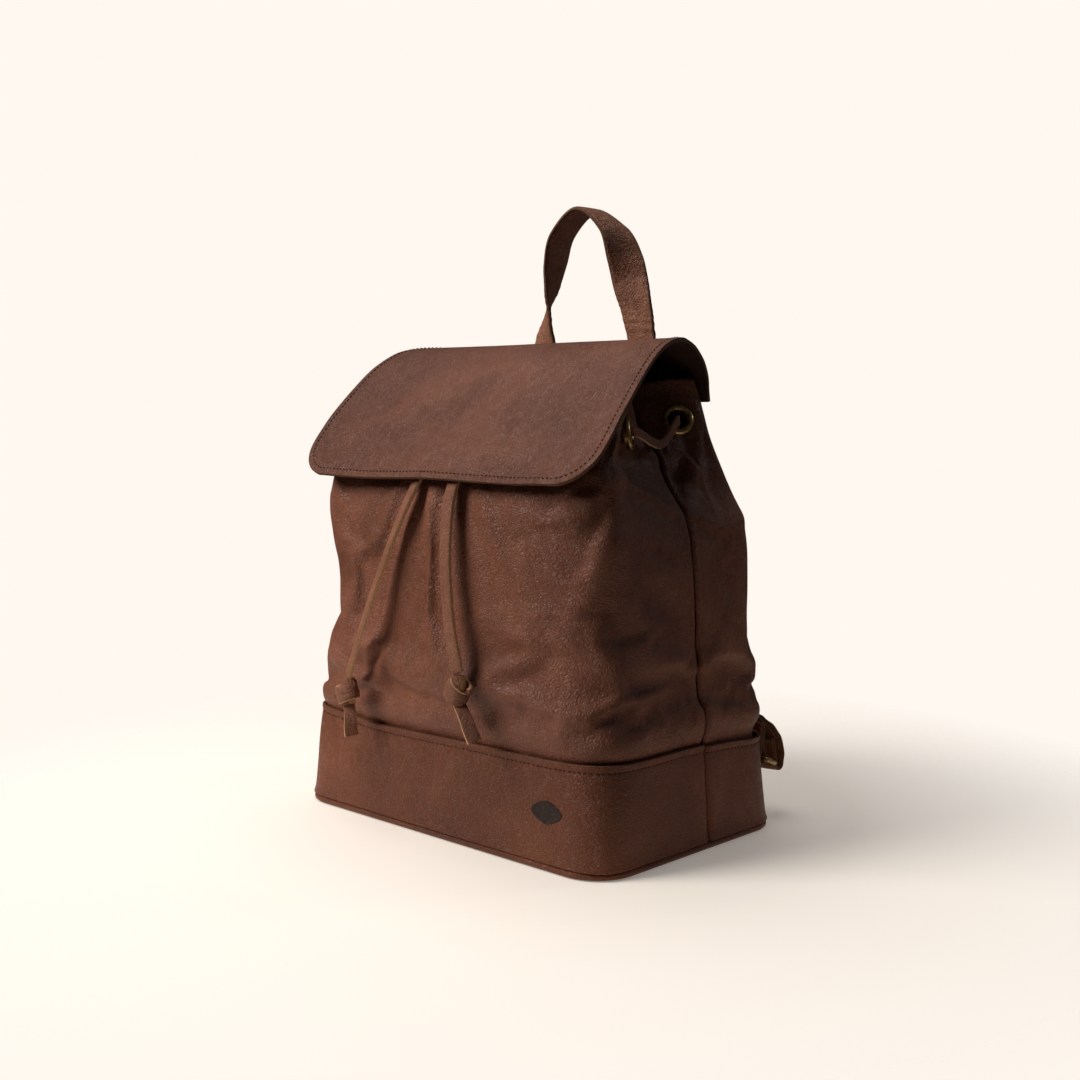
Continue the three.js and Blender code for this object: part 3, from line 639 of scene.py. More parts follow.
body_leather = leather("tumbled_brown_leather", "7a4832", "432214", "98604a", 2.0, 0.4, 0.85)
# painted shade: the flesh side is coloured dark brown for the shade under the flap's rolled edge and inside
# the bag
flesh = raw_edge("leather_flesh_side_painted_shade", "4d3428", "37241b")
cut_edge = raw_edge("burnished_cut_edge", "6e4c38", "4a2f22")


def shell_panel(half):
    """One half of the settled shell, with its edge turned in at the side seams and given thickness."""
    count = len(shell_columns)
    chosen = [j for j, (name, u) in enumerate(shell_columns)
              if name == half or (half == "front" and (name, abs(u)) == ("back", 1))]
    order = sorted(chosen, key=lambda j: (j + count // 2) % count if half == "front" else j)
    if half == "back":
        order.append((order[-1] + 1) % count)
    vertices = []
    for i in range(shell_rows + 1):
        for j in order:
            p = shell_points[i * count + j]
            normal = shell_normals[i * count + j]
            from_seam = min(order.index(j), len(order) - 1 - order.index(j)) * BODY_STEP
            dip = 2.2 * math.exp(-(from_seam / 2.4) ** 2) - 0.5 * math.exp(-((from_seam - 6) / 3) ** 2)
            vertices.append(p - normal * dip * MM)
    eyelets = eyelet_middles()
    faces = [f for f in grid_faces(shell_rows, len(order))
             if min((sum((vertices[k] for k in f), Vector()) / 4 - e).length
                    for e in eyelets) > EYELET_HOLE * MM]
    panel = new_object(f"{half}_panel_leather", vertices, faces, [body_leather, flesh, cut_edge])
    thicken(panel, LEATHER)
    apply_modifier(panel, "SUBSURF", levels=1, render_levels=1)
    bpy.ops.object.shade_smooth()
    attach(panel, "bag")
    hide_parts(f"{half}_panel")


for half in ("front", "back"):
    shell_panel(half)

# ---- Lining -----------------------------------------------------------------------------------------
# A cotton lining bag hangs just inside the leather and stops below the eyelets.
LINING_DEPTH = 3.9
LINING_TOP = 243
LINING_FOOT = [6.6, 7.2, 9, 14, 30]


def woven(name, warp_colour, weft_colour, pitch):
    """Plain-woven cotton with a thread pitch in millimetres; it reads as a fine matt grid."""
    made, tree = new_material(name)
    place = object_place(tree)
    scale = math.pi * 2 / (pitch * MM) / 20
    level = add_node(tree, "ShaderNodeTexWave", {"Vector": place, "Scale": scale}, bands_direction="Z")
    upright = add_node(tree, "ShaderNodeTexWave", {"Vector": place, "Scale": scale},
                       bands_direction="DIAGONAL")
    crossed = add_node(tree, "ShaderNodeMath", {0: level.outputs["Fac"], 1: upright.outputs["Fac"]},
                       operation="MULTIPLY").outputs[0]
    finish_material(tree, {"Base Color": tint(tree, crossed, weft_colour, warp_colour), "Roughness": 0.9,
                           "Normal": bump(tree, 0.4, 0.0003, crossed), "Specular IOR Level": 0.2})
    return made


cotton = woven("woven_cotton_lining", "7d6a54", "5f4f3d", 0.9)


def lining_bag():
    around = len(shell_columns)
    picked = range(0, around, 3)
    top_row = min(i for i in range(shell_rows) if shell_points[i * around].z > LINING_TOP * MM)
    upper = list(range(0, top_row, 2))
    vertices = []
    for level in LINING_FOOT:
        squeeze = LINING_DEPTH + 4.0 * (1 - smoothstep(6.6, 14, level))
        for j in picked:
            p = shell_points[j] - shell_normals[j] * squeeze * MM
            vertices.append(Vector((p.x, p.y, level * MM)))
    for i in upper:
        vertices += [shell_points[i * around + j] - shell_normals[i * around + j] * LINING_DEPTH * MM
                     for j in picked]
    faces = grid_faces(len(LINING_FOOT) + len(upper) - 1, len(picked), closed=True)
    faces.append(tuple(reversed(range(len(picked)))))
    bag = new_object("cotton_lining", vertices, faces, [cotton])
    thicken(bag, 0.8, (0, 0))
    bpy.ops.object.shade_smooth_by_angle(angle=math.radians(60))
    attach(bag, "bag")
    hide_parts("lining_bag")


lining_bag()

# ---- Base band ---------------------------------------------------------------------------------------
# A band of stiffer, redder leather goes round the foot in two halves that meet at the side seams. Its
# top edge is turned over, stands a little proud of the panels, and is topstitched.
band_leather = leather("firm_redbrown_leather", "6c3820", "47220f", "834a2d", 1.8, 0.42, 0.6)
thread_dark = raw_edge("waxed_dark_thread", "3a241b", "22140e")
BAND_BOTTOM = 4.8
STITCH_PITCH = 3.6
SEAM_SHARE = 0.925


def round_edges(made, width, segments=2):
    """Wears a sheet's cut edges round and shades it smooth between them."""
    apply_modifier(made, "BEVEL", width=width * MM, segments=segments, limit_method="ANGLE",
                   angle_limit=SHARP)
    bpy.ops.object.shade_smooth_by_angle(angle=SHARP)


def band_top(half, u):
    """The band's top edge, a little wavy, higher at the front corners and lower at the back ones."""
    if half == "front":
        return 67.0 + 2.2 * math.exp(-((abs(u) - 0.52) / 0.16) ** 2) + 0.7 * math.sin(u * 9)
    return 65.6 - 3.0 * math.exp(-((abs(u) - 0.52) / 0.2) ** 2) + 0.6 * math.sin(u * 7)


def on_band(half, u, share):
    top = band_top(half, u)
    z = BAND_BOTTOM + (top - BAND_BOTTOM) * share
    p = on_bag(half, u, z)
    outward = Vector((p.x, p.y * 1.4, 0)).normalized()
    swell = 1.3 * math.sin(math.pi * min(share * 1.02, 1)) * noise.noise(p * 0.02 + Vector((2, 5, 9)))
    lip = 0.9 * smoothstep(0.9, 0.985, share)
    foot = 0.8 * (1 - smoothstep(0, 0.08, share))
    tuck = 1.6 * math.exp(-((1 - abs(u)) / 0.012) ** 2)
    groove = 0.55 * math.exp(-((share - SEAM_SHARE) / 0.012) ** 2)
    return p + outward * (swell + lip + foot - tuck - groove)


def stitch_run(name, places, pitch, material, body):
    """A run of saddle stitches: one short rounded thread at each place, dipping at its ends."""
    vertices, faces = [], []
    for p, along, normal in places:
        side = along.cross(normal).normalized()
        base = len(vertices)
        for step, height, width in ((-0.5, -0.35, 0.16), (-0.3, 0.12, 0.34), (0, 0.26, 0.38),
                                    (0.3, 0.12, 0.34), (0.5, -0.35, 0.16)):
            middle = p + (along * step * pitch * 0.74 + normal * height) * MM
            for k in range(5):
                angle = k / 5 * 2 * math.pi
                vertices.append(middle + (side * math.cos(angle) + normal * math.sin(angle)) * width * MM)
        faces += [tuple(base + k for k in quad) for quad in grid_faces(4, 5, closed=True)]
        faces.append(tuple(base + k for k in reversed(range(5))))
        faces.append(tuple(base + 20 + k for k in range(5)))
    thread = new_object(name, vertices, faces, [material])
    tidy_faces(thread)
    if body:
        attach(thread, body)
    return thread


def along_line(point_at, normal_at, pitch, steps=600, start=0.0, end=1.0):
    """Evenly spaced places along a line given as a function of a share from 0 to 1."""
    points = [point_at(start + (end - start) * i / steps) * MM for i in range(steps + 1)]
    places, walked = [], 0.0
    for i, (a, b) in enumerate(zip(points, points[1:])):
        walked += (b - a).length
        if walked >= pitch * MM:
            walked -= pitch * MM
            along = (b - a).normalized()
            normal = Vector(normal_at(start + (end - start) * i / steps)).normalized()
            places.append((b, along, (normal - along * normal.dot(along)).normalized()))
    return places


def flat_outward(point_at):
    def normal(s):
        p = point_at(s)
        ahead = point_at(min(s + 0.002, 1)) - point_at(max(s - 0.002, 0))
        outward = Vector((ahead.y, -ahead.x, 0))
        return outward if outward.dot(Vector((p.x, p.y - SEAM_Y, 0))) > 0 else -outward
    return normal


for half in ("front", "back"):
    us = [-1 + 2 * i / 140 for i in range(141)]
    shares = [0, 0.015, 0.05, 0.1, 0.2, 0.3, 0.4, 0.5, 0.6, 0.7, 0.8, 0.87, 0.9, 0.913, 0.925, 0.937, 0.955,
              0.975, 0.99, 1]
    vertices = [on_band(half, u, s) * MM for s in shares for u in us]
    faces = [f if half == "front" else f[::-1] for f in grid_faces(len(shares) - 1, len(us))]
    band = new_object(f"{half}_band_leather", vertices, faces, [band_leather, flesh, cut_edge])
    thicken(band, LEATHER)
    round_edges(band, 0.7)
    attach(band, "bag")
    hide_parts(f"base_band_{half}")

    def stitch_line(s, half=half):
        return on_band(half, -0.985 + 1.97 * s, SEAM_SHARE)

    stitch_run(f"{half}_band_topstitch", along_line(stitch_line, flat_outward(stitch_line), STITCH_PITCH),
               STITCH_PITCH, thread_dark, "bag")

# ---- Foot: welt, bottom panel and board ------------------------------------------------------------
# A piping of rolled leather closes the seam between the band and the bottom panel, which is stiffened
# inside by a pressed board.
board, board_tree = new_material("pressed_fibreboard")
board_fibres = noise_field(board_tree, object_place(board_tree), 500.0, 6.0)
finish_material(board_tree, {"Base Color": tint(board_tree, board_fibres, "a08c70", "7d6a50"),
                             "Roughness": 0.9})
WELT_RADIUS = 2.1
WELT_INSET = 2.2
WELT_CORNER = 26.8


def dress(node, material):
    """Gives a CAD node that keeps its shape its real finish."""
    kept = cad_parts[node]
    kept.data.materials.clear()
    kept.data.materials.append(material)


dress("bottom_panel", band_leather)
dress("bottom_board", board)
welt_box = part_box("bottom_welt")
welt_x, welt_y = (welt_box[1][axis] / MM - WELT_INSET for axis in (0, 1))
bpy.ops.object.select_all(action="DESELECT")
bpy.ops.mesh.primitive_plane_add(size=2, location=(0, 0, 2.5 * MM))
welt = bpy.context.object
welt.name = "rolled_welt"
welt.scale = (welt_x * MM, welt_y * MM, 1)
bpy.ops.object.transform_apply(location=True, rotation=True, scale=True)
bpy.ops.object.mode_set(mode="EDIT")
bpy.ops.mesh.select_all(action="SELECT")
bpy.ops.mesh.bevel(offset=WELT_CORNER * MM, segments=12, affect="VERTICES")
bpy.ops.mesh.delete(type="ONLY_FACE")
bpy.ops.object.mode_set(mode="OBJECT")
bpy.ops.object.convert(target="CURVE")
welt.data.bevel_depth = WELT_RADIUS * MM
welt.data.bevel_resolution = 4
bpy.ops.object.convert(target="MESH")
bpy.ops.object.shade_smooth()
welt.data.materials.append(band_leather)
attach(welt, "bag")
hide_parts("bottom_welt")

# ---- Flap -------------------------------------------------------------------------------------------
# One wide piece of leather, sewn to the back at its root, rolled over the top and lying loose on the
# front. It is stitched close to its edge all round, and stands fuller on the left than on the right.
FLAP_THICKNESS = 2.4
HINGE = (28, 323.6)
ROOT_PROFILE = [(57.5, 284.6), (55.6, 292), (53.6, 301), (47.8, 311), (39, 318.8), (34, 321.6), HINGE]
FLAP_RIGHT = [(20, 324.8), (8, 323), (-4, 318.5), (-15, 311.5), (-29, 300.5), (-48, 282.5), (-66, 264),
              (-82, 248.5), (-95, 234)]
FLAP_LEFT = [(20, 325), (8, 324.8), (-8, 323), (-22, 319), (-39, 309), (-56, 293.5), (-76, 272),
             (-92, 251), (-101, 235.5)]
FLAP_HALF = {"root": 108, "hinge": 112, "front": 133}
FLAP_CORNER = 28
FLAP_STEPS = 150
FLAP_SEAM_INSET = 4.5
FLAP_SEAM_START = 0.05
FLAP_STITCH = 3.4

flap_right = smooth_path([(0, y, z) for y, z in ROOT_PROFILE + FLAP_RIGHT], FLAP_STEPS)
flap_left = smooth_path([(0, y, z) for y, z in ROOT_PROFILE + FLAP_LEFT], FLAP_STEPS)
flap_length = length_of(flap_right) / MM
hinge_share = min(range(FLAP_STEPS), key=lambda i: abs(flap_right[i].y / MM - HINGE[0])) / FLAP_STEPS


def path_at(path, share):
    at = min(max(share, 0), 1) * (len(path) - 1)
    low = min(int(at), len(path) - 2)
    return path[low].lerp(path[low + 1], at - low)


def corner_cut(rest, radius):
    """How far a rounded corner takes a side in, at a distance from the edge that it turns into."""
    return radius - math.sqrt(max(radius ** 2 - (radius - rest) ** 2, 0)) if rest < radius else 0


def on_flap(u, share):
    """A place on the flap's outer face in millimetres: u across, share from its root to its edge."""
    cut = corner_cut((1 - share) * flap_length, FLAP_CORNER)
    if share < hinge_share:
        half = FLAP_HALF["root"] + (FLAP_HALF["hinge"] - FLAP_HALF["root"]) * share / hinge_share
    else:
        spread = ((share - hinge_share) / (1 - hinge_share)) ** 0.8
        half = FLAP_HALF["hinge"] + (FLAP_HALF["front"] - FLAP_HALF["hinge"]) * spread
    p = path_at(flap_right, share).lerp(path_at(flap_left, share), 0.5 - 0.5 * u) / MM
    p.x = u * (half - cut)
    loose = smoothstep(hinge_share, hinge_share + 0.3, share)
    front = smoothstep(0.75, 1.0, share)
    wave = noise.noise(Vector((p.x * 0.014, share * 2.6, 3.0))) * 2.6 * loose
    wave += noise.noise(Vector((p.x * 0.035, share * 7.0, 8.0))) * 0.9 * loose
    edge = front * (0.9 * math.cos(p.x * 0.052) + 0.7 * math.sin(p.x * 0.031 + 1))
    pinch = -1.6 * math.exp(-((p.x + 28) / 9) ** 2 - ((share - 0.84) / 0.035) ** 2)
    return p, wave + edge + pinch


def flap_surface(u, share):
    p, lift = on_flap(u, share)
    before = path_at(flap_right, share - 0.01)
    after = path_at(flap_right, share + 0.01)
    along = (after - before).normalized()
    return p + Vector((0, -along.z, along.y)) * -lift


flap_us = sorted({round(-1 + 2 * i / 84, 4) for i in range(85)} | {-0.985, -0.965, 0.965, 0.985})
flap_shares = [i / 84 for i in range(76)] + [0.9, 0.912, 0.924, 0.936, 0.948, 0.958, 0.967, 0.975, 0.982,
                                             0.988, 0.993, 0.997, 0.9993]
vertices = [flap_surface(u, s) * MM for s in flap_shares for u in flap_us]
faces = [f[::-1] for f in grid_faces(len(flap_shares) - 1, len(flap_us))]
flap_leather = leather("smooth_pulled_brown_leather", "653926", "472518", "7d4c37", 1.7, 0.43, 0.55)
flap = new_object("flap_leather", vertices, faces, [flap_leather, flesh, cut_edge])
thicken(flap, FLAP_THICKNESS)
round_edges(flap, 0.8, 3)
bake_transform(flap)
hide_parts("flap", "flap_root")


def flap_seam(s):
    """The seam just inside the flap's edge: down the left, round the front and up the right."""
    inner = FLAP_CORNER - FLAP_SEAM_INSET
    flat_half = FLAP_HALF["front"] - FLAP_CORNER
    down = flap_length * (1 - FLAP_SEAM_START) - FLAP_CORNER
    arc = inner * math.pi / 2
    total = 2 * (down + arc + flat_half)
    at, mirror = (s * total, 1) if s <= 0.5 else (total - s * total, -1)
    if at < down:
        return flap_surface((-1 + FLAP_SEAM_INSET / 125) * mirror, FLAP_SEAM_START + at / flap_length)
    if at < down + arc:
        angle = (at - down) / inner
        rest = FLAP_CORNER - inner * math.sin(angle)
        x = flat_half + inner * math.cos(angle)
    else:
        rest = FLAP_SEAM_INSET
        x = flat_half - (at - down - arc)
    u = -x / (FLAP_HALF["front"] - corner_cut(rest, FLAP_CORNER))
    return flap_surface(u * mirror, 1 - rest / flap_length)


def flap_up(s):
    p = flap_seam(s)
    share = min(range(FLAP_STEPS), key=lambda i: (flap_right[i].y / MM - p.y) ** 2
                + (flap_right[i].z / MM - p.z) ** 2)
    along = (flap_right[min(share + 2, FLAP_STEPS)] - flap_right[max(share - 2, 0)]).normalized()
    return (0, along.z, -along.y)


flap_thread = stitch_run("flap_edge_stitches", along_line(flap_seam, flap_up, FLAP_STITCH, 1500),
                         FLAP_STITCH, thread_dark, None)
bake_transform(flap_thread)

# ---- Eyelets -----------------------------------------------------------------------------------------
# Six brass eyelets with aged, rolled flanges: two on the front and two in each pleated side. A barrel
# goes through the leather and is set over a washer on the inside.
EYELET_FLANGE = [(6.4, -3.4), (6.4, 0.3), (6.8, 1.1), (7.6, 1.7), (8.5, 1.9), (9.4, 1.55), (10.2, 0.75),
                 (10.5, -0.1), (10.1, -0.3), (7.2, -0.3), (7.2, -3.4)]
WASHER_RING = [(7.7, 0.3), (7.9, -0.4), (8.6, -0.75), (9.6, -0.6), (10.1, 0), (10.1, 0.3)]


def metal(name, bright, dull, roughness):
    """Brass with a brown patina in its hollows, rubbed bright where it is handled."""
    made, tree = new_material(name)
    patina = noise_field(tree, object_place(tree), 160.0, 5.0, 0.65)
    rubbed = ramp(tree, patina, 0.35, 0.65, roughness - 0.1, roughness + 0.15)
    finish_material(tree, {"Base Color": tint(tree, ramp(tree, patina, 0.4, 0.64), bright, dull),
                           "Metallic": 0.82, "Roughness": rubbed})
    return made


antique_brass = metal("antique_brass", "c4a26a", "7f633f", 0.32)


def spun(name, profile, centre, axis, material):
    """A ring turned from its profile of (radius, height) points, standing on an axis."""
    turned = new_object(name, [(r * MM, 0, h * MM) for r, h in profile], [], [material])
    turned.data.edges.add(len(profile))
    for i, edge in enumerate(turned.data.edges):
        edge.vertices = (i, (i + 1) % len(profile))
    apply_modifier(turned, "SCREW", steps=48, render_steps=48, use_merge_vertices=True,
                   merge_threshold=1e-6)
    turned.data.transform(Matrix.Translation(centre) @ axis.to_track_quat("Z", "Y").to_matrix().to_4x4())
    tidy_faces(turned)
    return turned


eyelet_axes = {}
for place in ("front", "fore_pleat", "rear_pleat"):
    for side, _ in SIDES:
        spot = f"{place}_{side}"
        middle = node_middle(f"eyelet_{spot}")
        axis = (middle - node_middle(f"washer_{spot}")).normalized()
        eyelet_axes[spot] = (middle, axis)
        for name, profile, lift in (("eyelet", EYELET_FLANGE, 1.2), ("washer", WASHER_RING, -1.5)):
            ring = spun(f"brass_{name}_{spot}", profile, middle + axis * lift * MM, axis, antique_brass)
            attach(ring, "bag")
            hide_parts(f"{name}_{spot}")

# ---- Drawstring loop ---------------------------------------------------------------------------------
# The same lace runs from one front eyelet inside the bag, out and in again through the pleats at each
# side, where a short bight of it sags outside, and round inside the back.
loop_sag = {"left": Vector((-108, 6, 257)), "right": Vector((108, 6, 257))}


def off_eyelet(spot, depth):
    """A place on an eyelet's axis, or beside it in the pleats, where the lace lies on the rim."""
    middle, axis = eyelet_axes[spot]
    lean = Vector((0, -1.6, -2.2)) if "rear" in spot and depth > -5 else Vector()
    return (middle + axis * depth * MM) / MM + lean


def side_run(side):
    """The lace's route on one side, from outside the front eyelet to inside the rear pleat."""
    sign = dict(SIDES)[side]
    inside_front = Vector((sign * 70, on_bag("front", sign * 0.3, 263, 11).y, 263))
    return [*(off_eyelet(f"front_{side}", depth) for depth in (0.5, -9)), inside_front,
            *(off_eyelet(f"fore_pleat_{side}", depth) for depth in (-9, 0, 6)), loop_sag[side],
            *(off_eyelet(f"rear_pleat_{side}", depth) for depth in (6, 0, -9))]


inside_back = on_bag("back", 0.3, 274).y - 10
loop_points = side_run("left") + [Vector((x, inside_back, z)) for x, z in ((-60, 272), (0, 270), (60, 272))]
loop_points += list(reversed(side_run("right")))
loop_path = smooth_path(loop_points, 320)


def loop_across(s):
    roll = 0.45 * math.sin(s * 23)
    return (0, math.sin(roll), math.cos(roll))


loop = strap("lace_loop", stations(loop_path, loop_across), lambda s: LACE_WIDTH - 4.0, LACE_THICKNESS,
             lace_grain, lace_edge)
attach(loop, "bag")
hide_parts("drawstring_loop")

# ---- Back yoke ---------------------------------------------------------------------------------------
# A patch of the firm leather across the top of the back holds the ends of the handle and the straps.
shell_tree = BVHTree.FromPolygons(shell_points, grid_faces(shell_rows, len(shell_columns), closed=True))


def on_shell(x, z, half="back"):
    """Where the settled leather lies at this place on the back or front, with its outward normal."""
    sign = SHAPE[half][0]
    hit, normal, _, _ = shell_tree.ray_cast(Vector((x * MM, sign * 0.3, z * MM)), Vector((0, -sign, 0)))
    if normal.y * sign < 0:
        normal = -normal
    return hit / MM, normal


YOKE = {"half": 64, "bottom": 236, "top": 283.4, "thickness": 2.6, "corner": 9}


def yoke_point(u, v, lift):
    z = YOKE["bottom"] + (YOKE["top"] - YOKE["bottom"]) * v
    half = YOKE["half"] - corner_cut(z - YOKE["bottom"], YOKE["corner"])
    p, normal = on_shell(u * half, z)
    # it swells over the strap ends that are sewn in beneath it
    over = 1 - smoothstep(14, 21, abs(abs(p.x) - 34))
    lift += 3.2 * over * (1 - smoothstep(240, 254, z))
    return p + normal * lift


yoke_us = [-1 + i / 32 for i in range(65)]
yoke_vs = [0.001, 0.01, 0.03, 0.06, 0.1, 0.14, 0.19] + [0.25 + i * 0.05 for i in range(16)]
vertices = [yoke_point(u, v, 3.3) * MM for v in yoke_vs for u in yoke_us]
faces = [(b, a, d, c) for a, b, c, d in grid_faces(len(yoke_vs) - 1, len(yoke_us))]
yoke = new_object("back_yoke_leather", vertices, faces, [band_leather, flesh, cut_edge])
apply_modifier(yoke, "SMOOTH", factor=0.5, iterations=4)
thicken(yoke, YOKE["thickness"])
round_edges(yoke, 0.6)
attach(yoke, "bag")
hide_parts("back_yoke")


def yoke_seam(s):
    """Down one side, along the foot and up the other side, 3.5 mm inside the patch's edge."""
    at = s * 3
    if at < 1:
        return yoke_point(-0.945, 0.97 - at * 0.87, 3.5)
    if at < 2:
        return yoke_point((at - 1.5) * 2 * 0.945, 0.07, 3.5)
    return yoke_point(0.945, 0.1 + (at - 2) * 0.87, 3.5)


def yoke_outward(s):
    return (0, 1, 0.25)


for part, (start, end) in enumerate(((0.0, 0.333), (0.34, 0.66), (0.667, 1.0))):
    stitch_run(f"yoke_stitches_{part}", along_line(yoke_seam, yoke_outward, STITCH_PITCH, 600, start, end),
               STITCH_PITCH, thread_dark, "bag")

# ---- Handle ------------------------------------------------------------------------------------------
# One strap for the hand: its ends are sewn to the yoke side by side, with a stitched box each, and it
# turns a quarter round on its way up, so that it arches edge-on over the bag and creases as it goes.
HANDLE_WIDTH = 25
HANDLE_THICKNESS = 3.0
HANDLE_Y = 60.6
HANDLE_FOOT_X = 45
HANDLE_STANDOFF = 5.1
HANDLE_SEWN_LENGTH = 38
HANDLE_STITCH = 3.2
HANDLE_LEG = [(HANDLE_FOOT_X, HANDLE_Y, 292), (HANDLE_FOOT_X, HANDLE_Y, 300), (46, HANDLE_Y, 325),
              (42, HANDLE_Y - 1, 348), (37.5, HANDLE_Y - 2, 366), (33, HANDLE_Y - 3, 384),
              (24, HANDLE_Y - 5, 404)]
HANDLE_TOP = (0, HANDLE_Y - 6, 419.2)
HANDLE_SEWN = [262, 271, 280]


def handle_half(sign):
    x_foot = sign * HANDLE_FOOT_X
    low = [Vector((x_foot, on_shell(x_foot, z)[0].y + HANDLE_STANDOFF, z)) for z in HANDLE_SEWN]
    return low + [Vector((sign * x, y, z)) for x, y, z in HANDLE_LEG]


handle_path = smooth_path(handle_half(-1) + [Vector(HANDLE_TOP)] + list(reversed(handle_half(1))), 400)
sewn_share = HANDLE_SEWN_LENGTH / (length_of(handle_path) / MM)


def handle_across(s):
    """Flat on the back at both ends, and a quarter turned by the time it arches over."""
    near = min(s, 1 - s)
    side = -1 if s < 0.5 else 1
    begin, end = (0.015, 0.72) if side < 0 else (0.09, 0.96)
    turned = smoothstep(sewn_share + begin, sewn_share + (0.5 - sewn_share) * end, near) * math.pi / 2
    return (side * math.cos(turned), math.sin(turned), 0)


def handle_relief(s, a):
    """Slanting creases where the strap twists, deepest on its right leg."""
    near = min(s, 1 - s)
    bent = smoothstep(sewn_share, sewn_share + 0.05, near) * (1 - smoothstep(0.26, 0.36, near))
    depth = 0.34 if s > 0.5 else 0.2
    ripple = math.sin(near * 430 + a * 4.5 + 2.2 * math.sin(near * 47 + a))
    broad = 0.35 * math.sin(near * 96 + a * 1.5)
    return bent * (depth * ripple * (0.6 + 0.4 * math.sin(near * 61 + a * 2)) + broad)


handle_leather = leather("creased_handle_leather", "84503a", "4a2718", "a8745a", 1.8, 0.42, 1.1)
handle = strap("handle_strap", stations(handle_path, handle_across), lambda s: HANDLE_WIDTH,
               HANDLE_THICKNESS, handle_leather, cut_edge, handle_relief)
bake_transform(handle)
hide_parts("handle", "handle_end_left", "handle_end_right")

for side, sign in SIDES:
    def box_seam(s, sign=sign):
        corners = [(-9.5, 265.5), (9.5, 265.5), (9.5, 282), (-9.5, 282), (-9.5, 265.5)]
        at = min(int(s * 4), 3)
        (ax, az), (bx, bz) = corners[at], corners[at + 1]
        x, z = ax + (bx - ax) * (s * 4 - at), az + (bz - az) * (s * 4 - at)
        x_foot = sign * HANDLE_FOOT_X
        y = on_shell(x_foot, z)[0].y + HANDLE_STANDOFF + HANDLE_THICKNESS / 2
        return Vector((x_foot + x, y, z))

    stitch_run(f"handle_box_stitches_{side}",
               along_line(box_seam, lambda s: (0, 1, 0.2), HANDLE_STITCH, 400), HANDLE_STITCH,
               thread_dark, "bag")

# ---- Shoulder straps ---------------------------------------------------------------------------------
# Two adjustable straps stand out from the back. The upper part runs from under the yoke to a buckle's
# heel bar; the lower one comes up through the buckle, where its prong takes one of three holes, and
# on through a keeper. At its foot it turns round the ring at the corner of the base.
STRAP_ROUTE = [(34, 82.5, 234.5), (41, 95, 212), (51, 105, 188), (60, 109, 160), (68, 109.5, 136),
               (76, 108.5, 112), (86, 106, 90), (98, 105, 72), (110, 110.5, 58), (118, 113, 47)]
STRAP_SPAN = 215
STRAP_STEPS = 400
LOWER_REACH = (-52, 96.75)
LOWER_WIDTH = 20
LOWER_THICKNESS = 2.2
HOLES_AT = (-32, 0, 32)
PRONG_CURL = 2.75
BUCKLE_AT = 0.55
BUCKLE_HALF = (12.6, 9.5)
BUCKLE_STEP = 3.8
WIRE = 1.5
strap_leather = leather("supple_strap_leather", "653527", "3e1e14", "834e3a", 1.8, 0.45, 0.9)


def wire(name, points, radius, material, closed=True):
    """A round rod of a given radius along a line of points in metres."""
    line = bpy.data.curves.new(name, "CURVE")
    line.dimensions = "3D"
    line.bevel_depth = radius * MM
    line.bevel_resolution = 4
    line.use_fill_caps = True
    run = line.splines.new("POLY")
    run.points.add(len(points) - 1)
    for point, p in zip(run.points, points):
        point.co = (*p, 1)
    run.use_cyclic_u = closed
    rod = bpy.data.objects.new(name, line)
    bpy.context.collection.objects.link(rod)
    pick(rod)
    bpy.ops.object.convert(target="MESH")
    rod.data.materials.clear()
    rod.data.materials.append(material)
    bpy.ops.object.shade_smooth_by_angle(angle=SHARP)
    return rod


def strap_lift(distance):
    """How far the lower strap stands off its route as it threads the buckle, in millimetres."""
    lift = BUCKLE_STEP * min(max(-distance / BUCKLE_HALF[1], -1), 1)
    return lift * (min(1, max(0, (40 - distance) / 20)) if distance > 0 else 1)


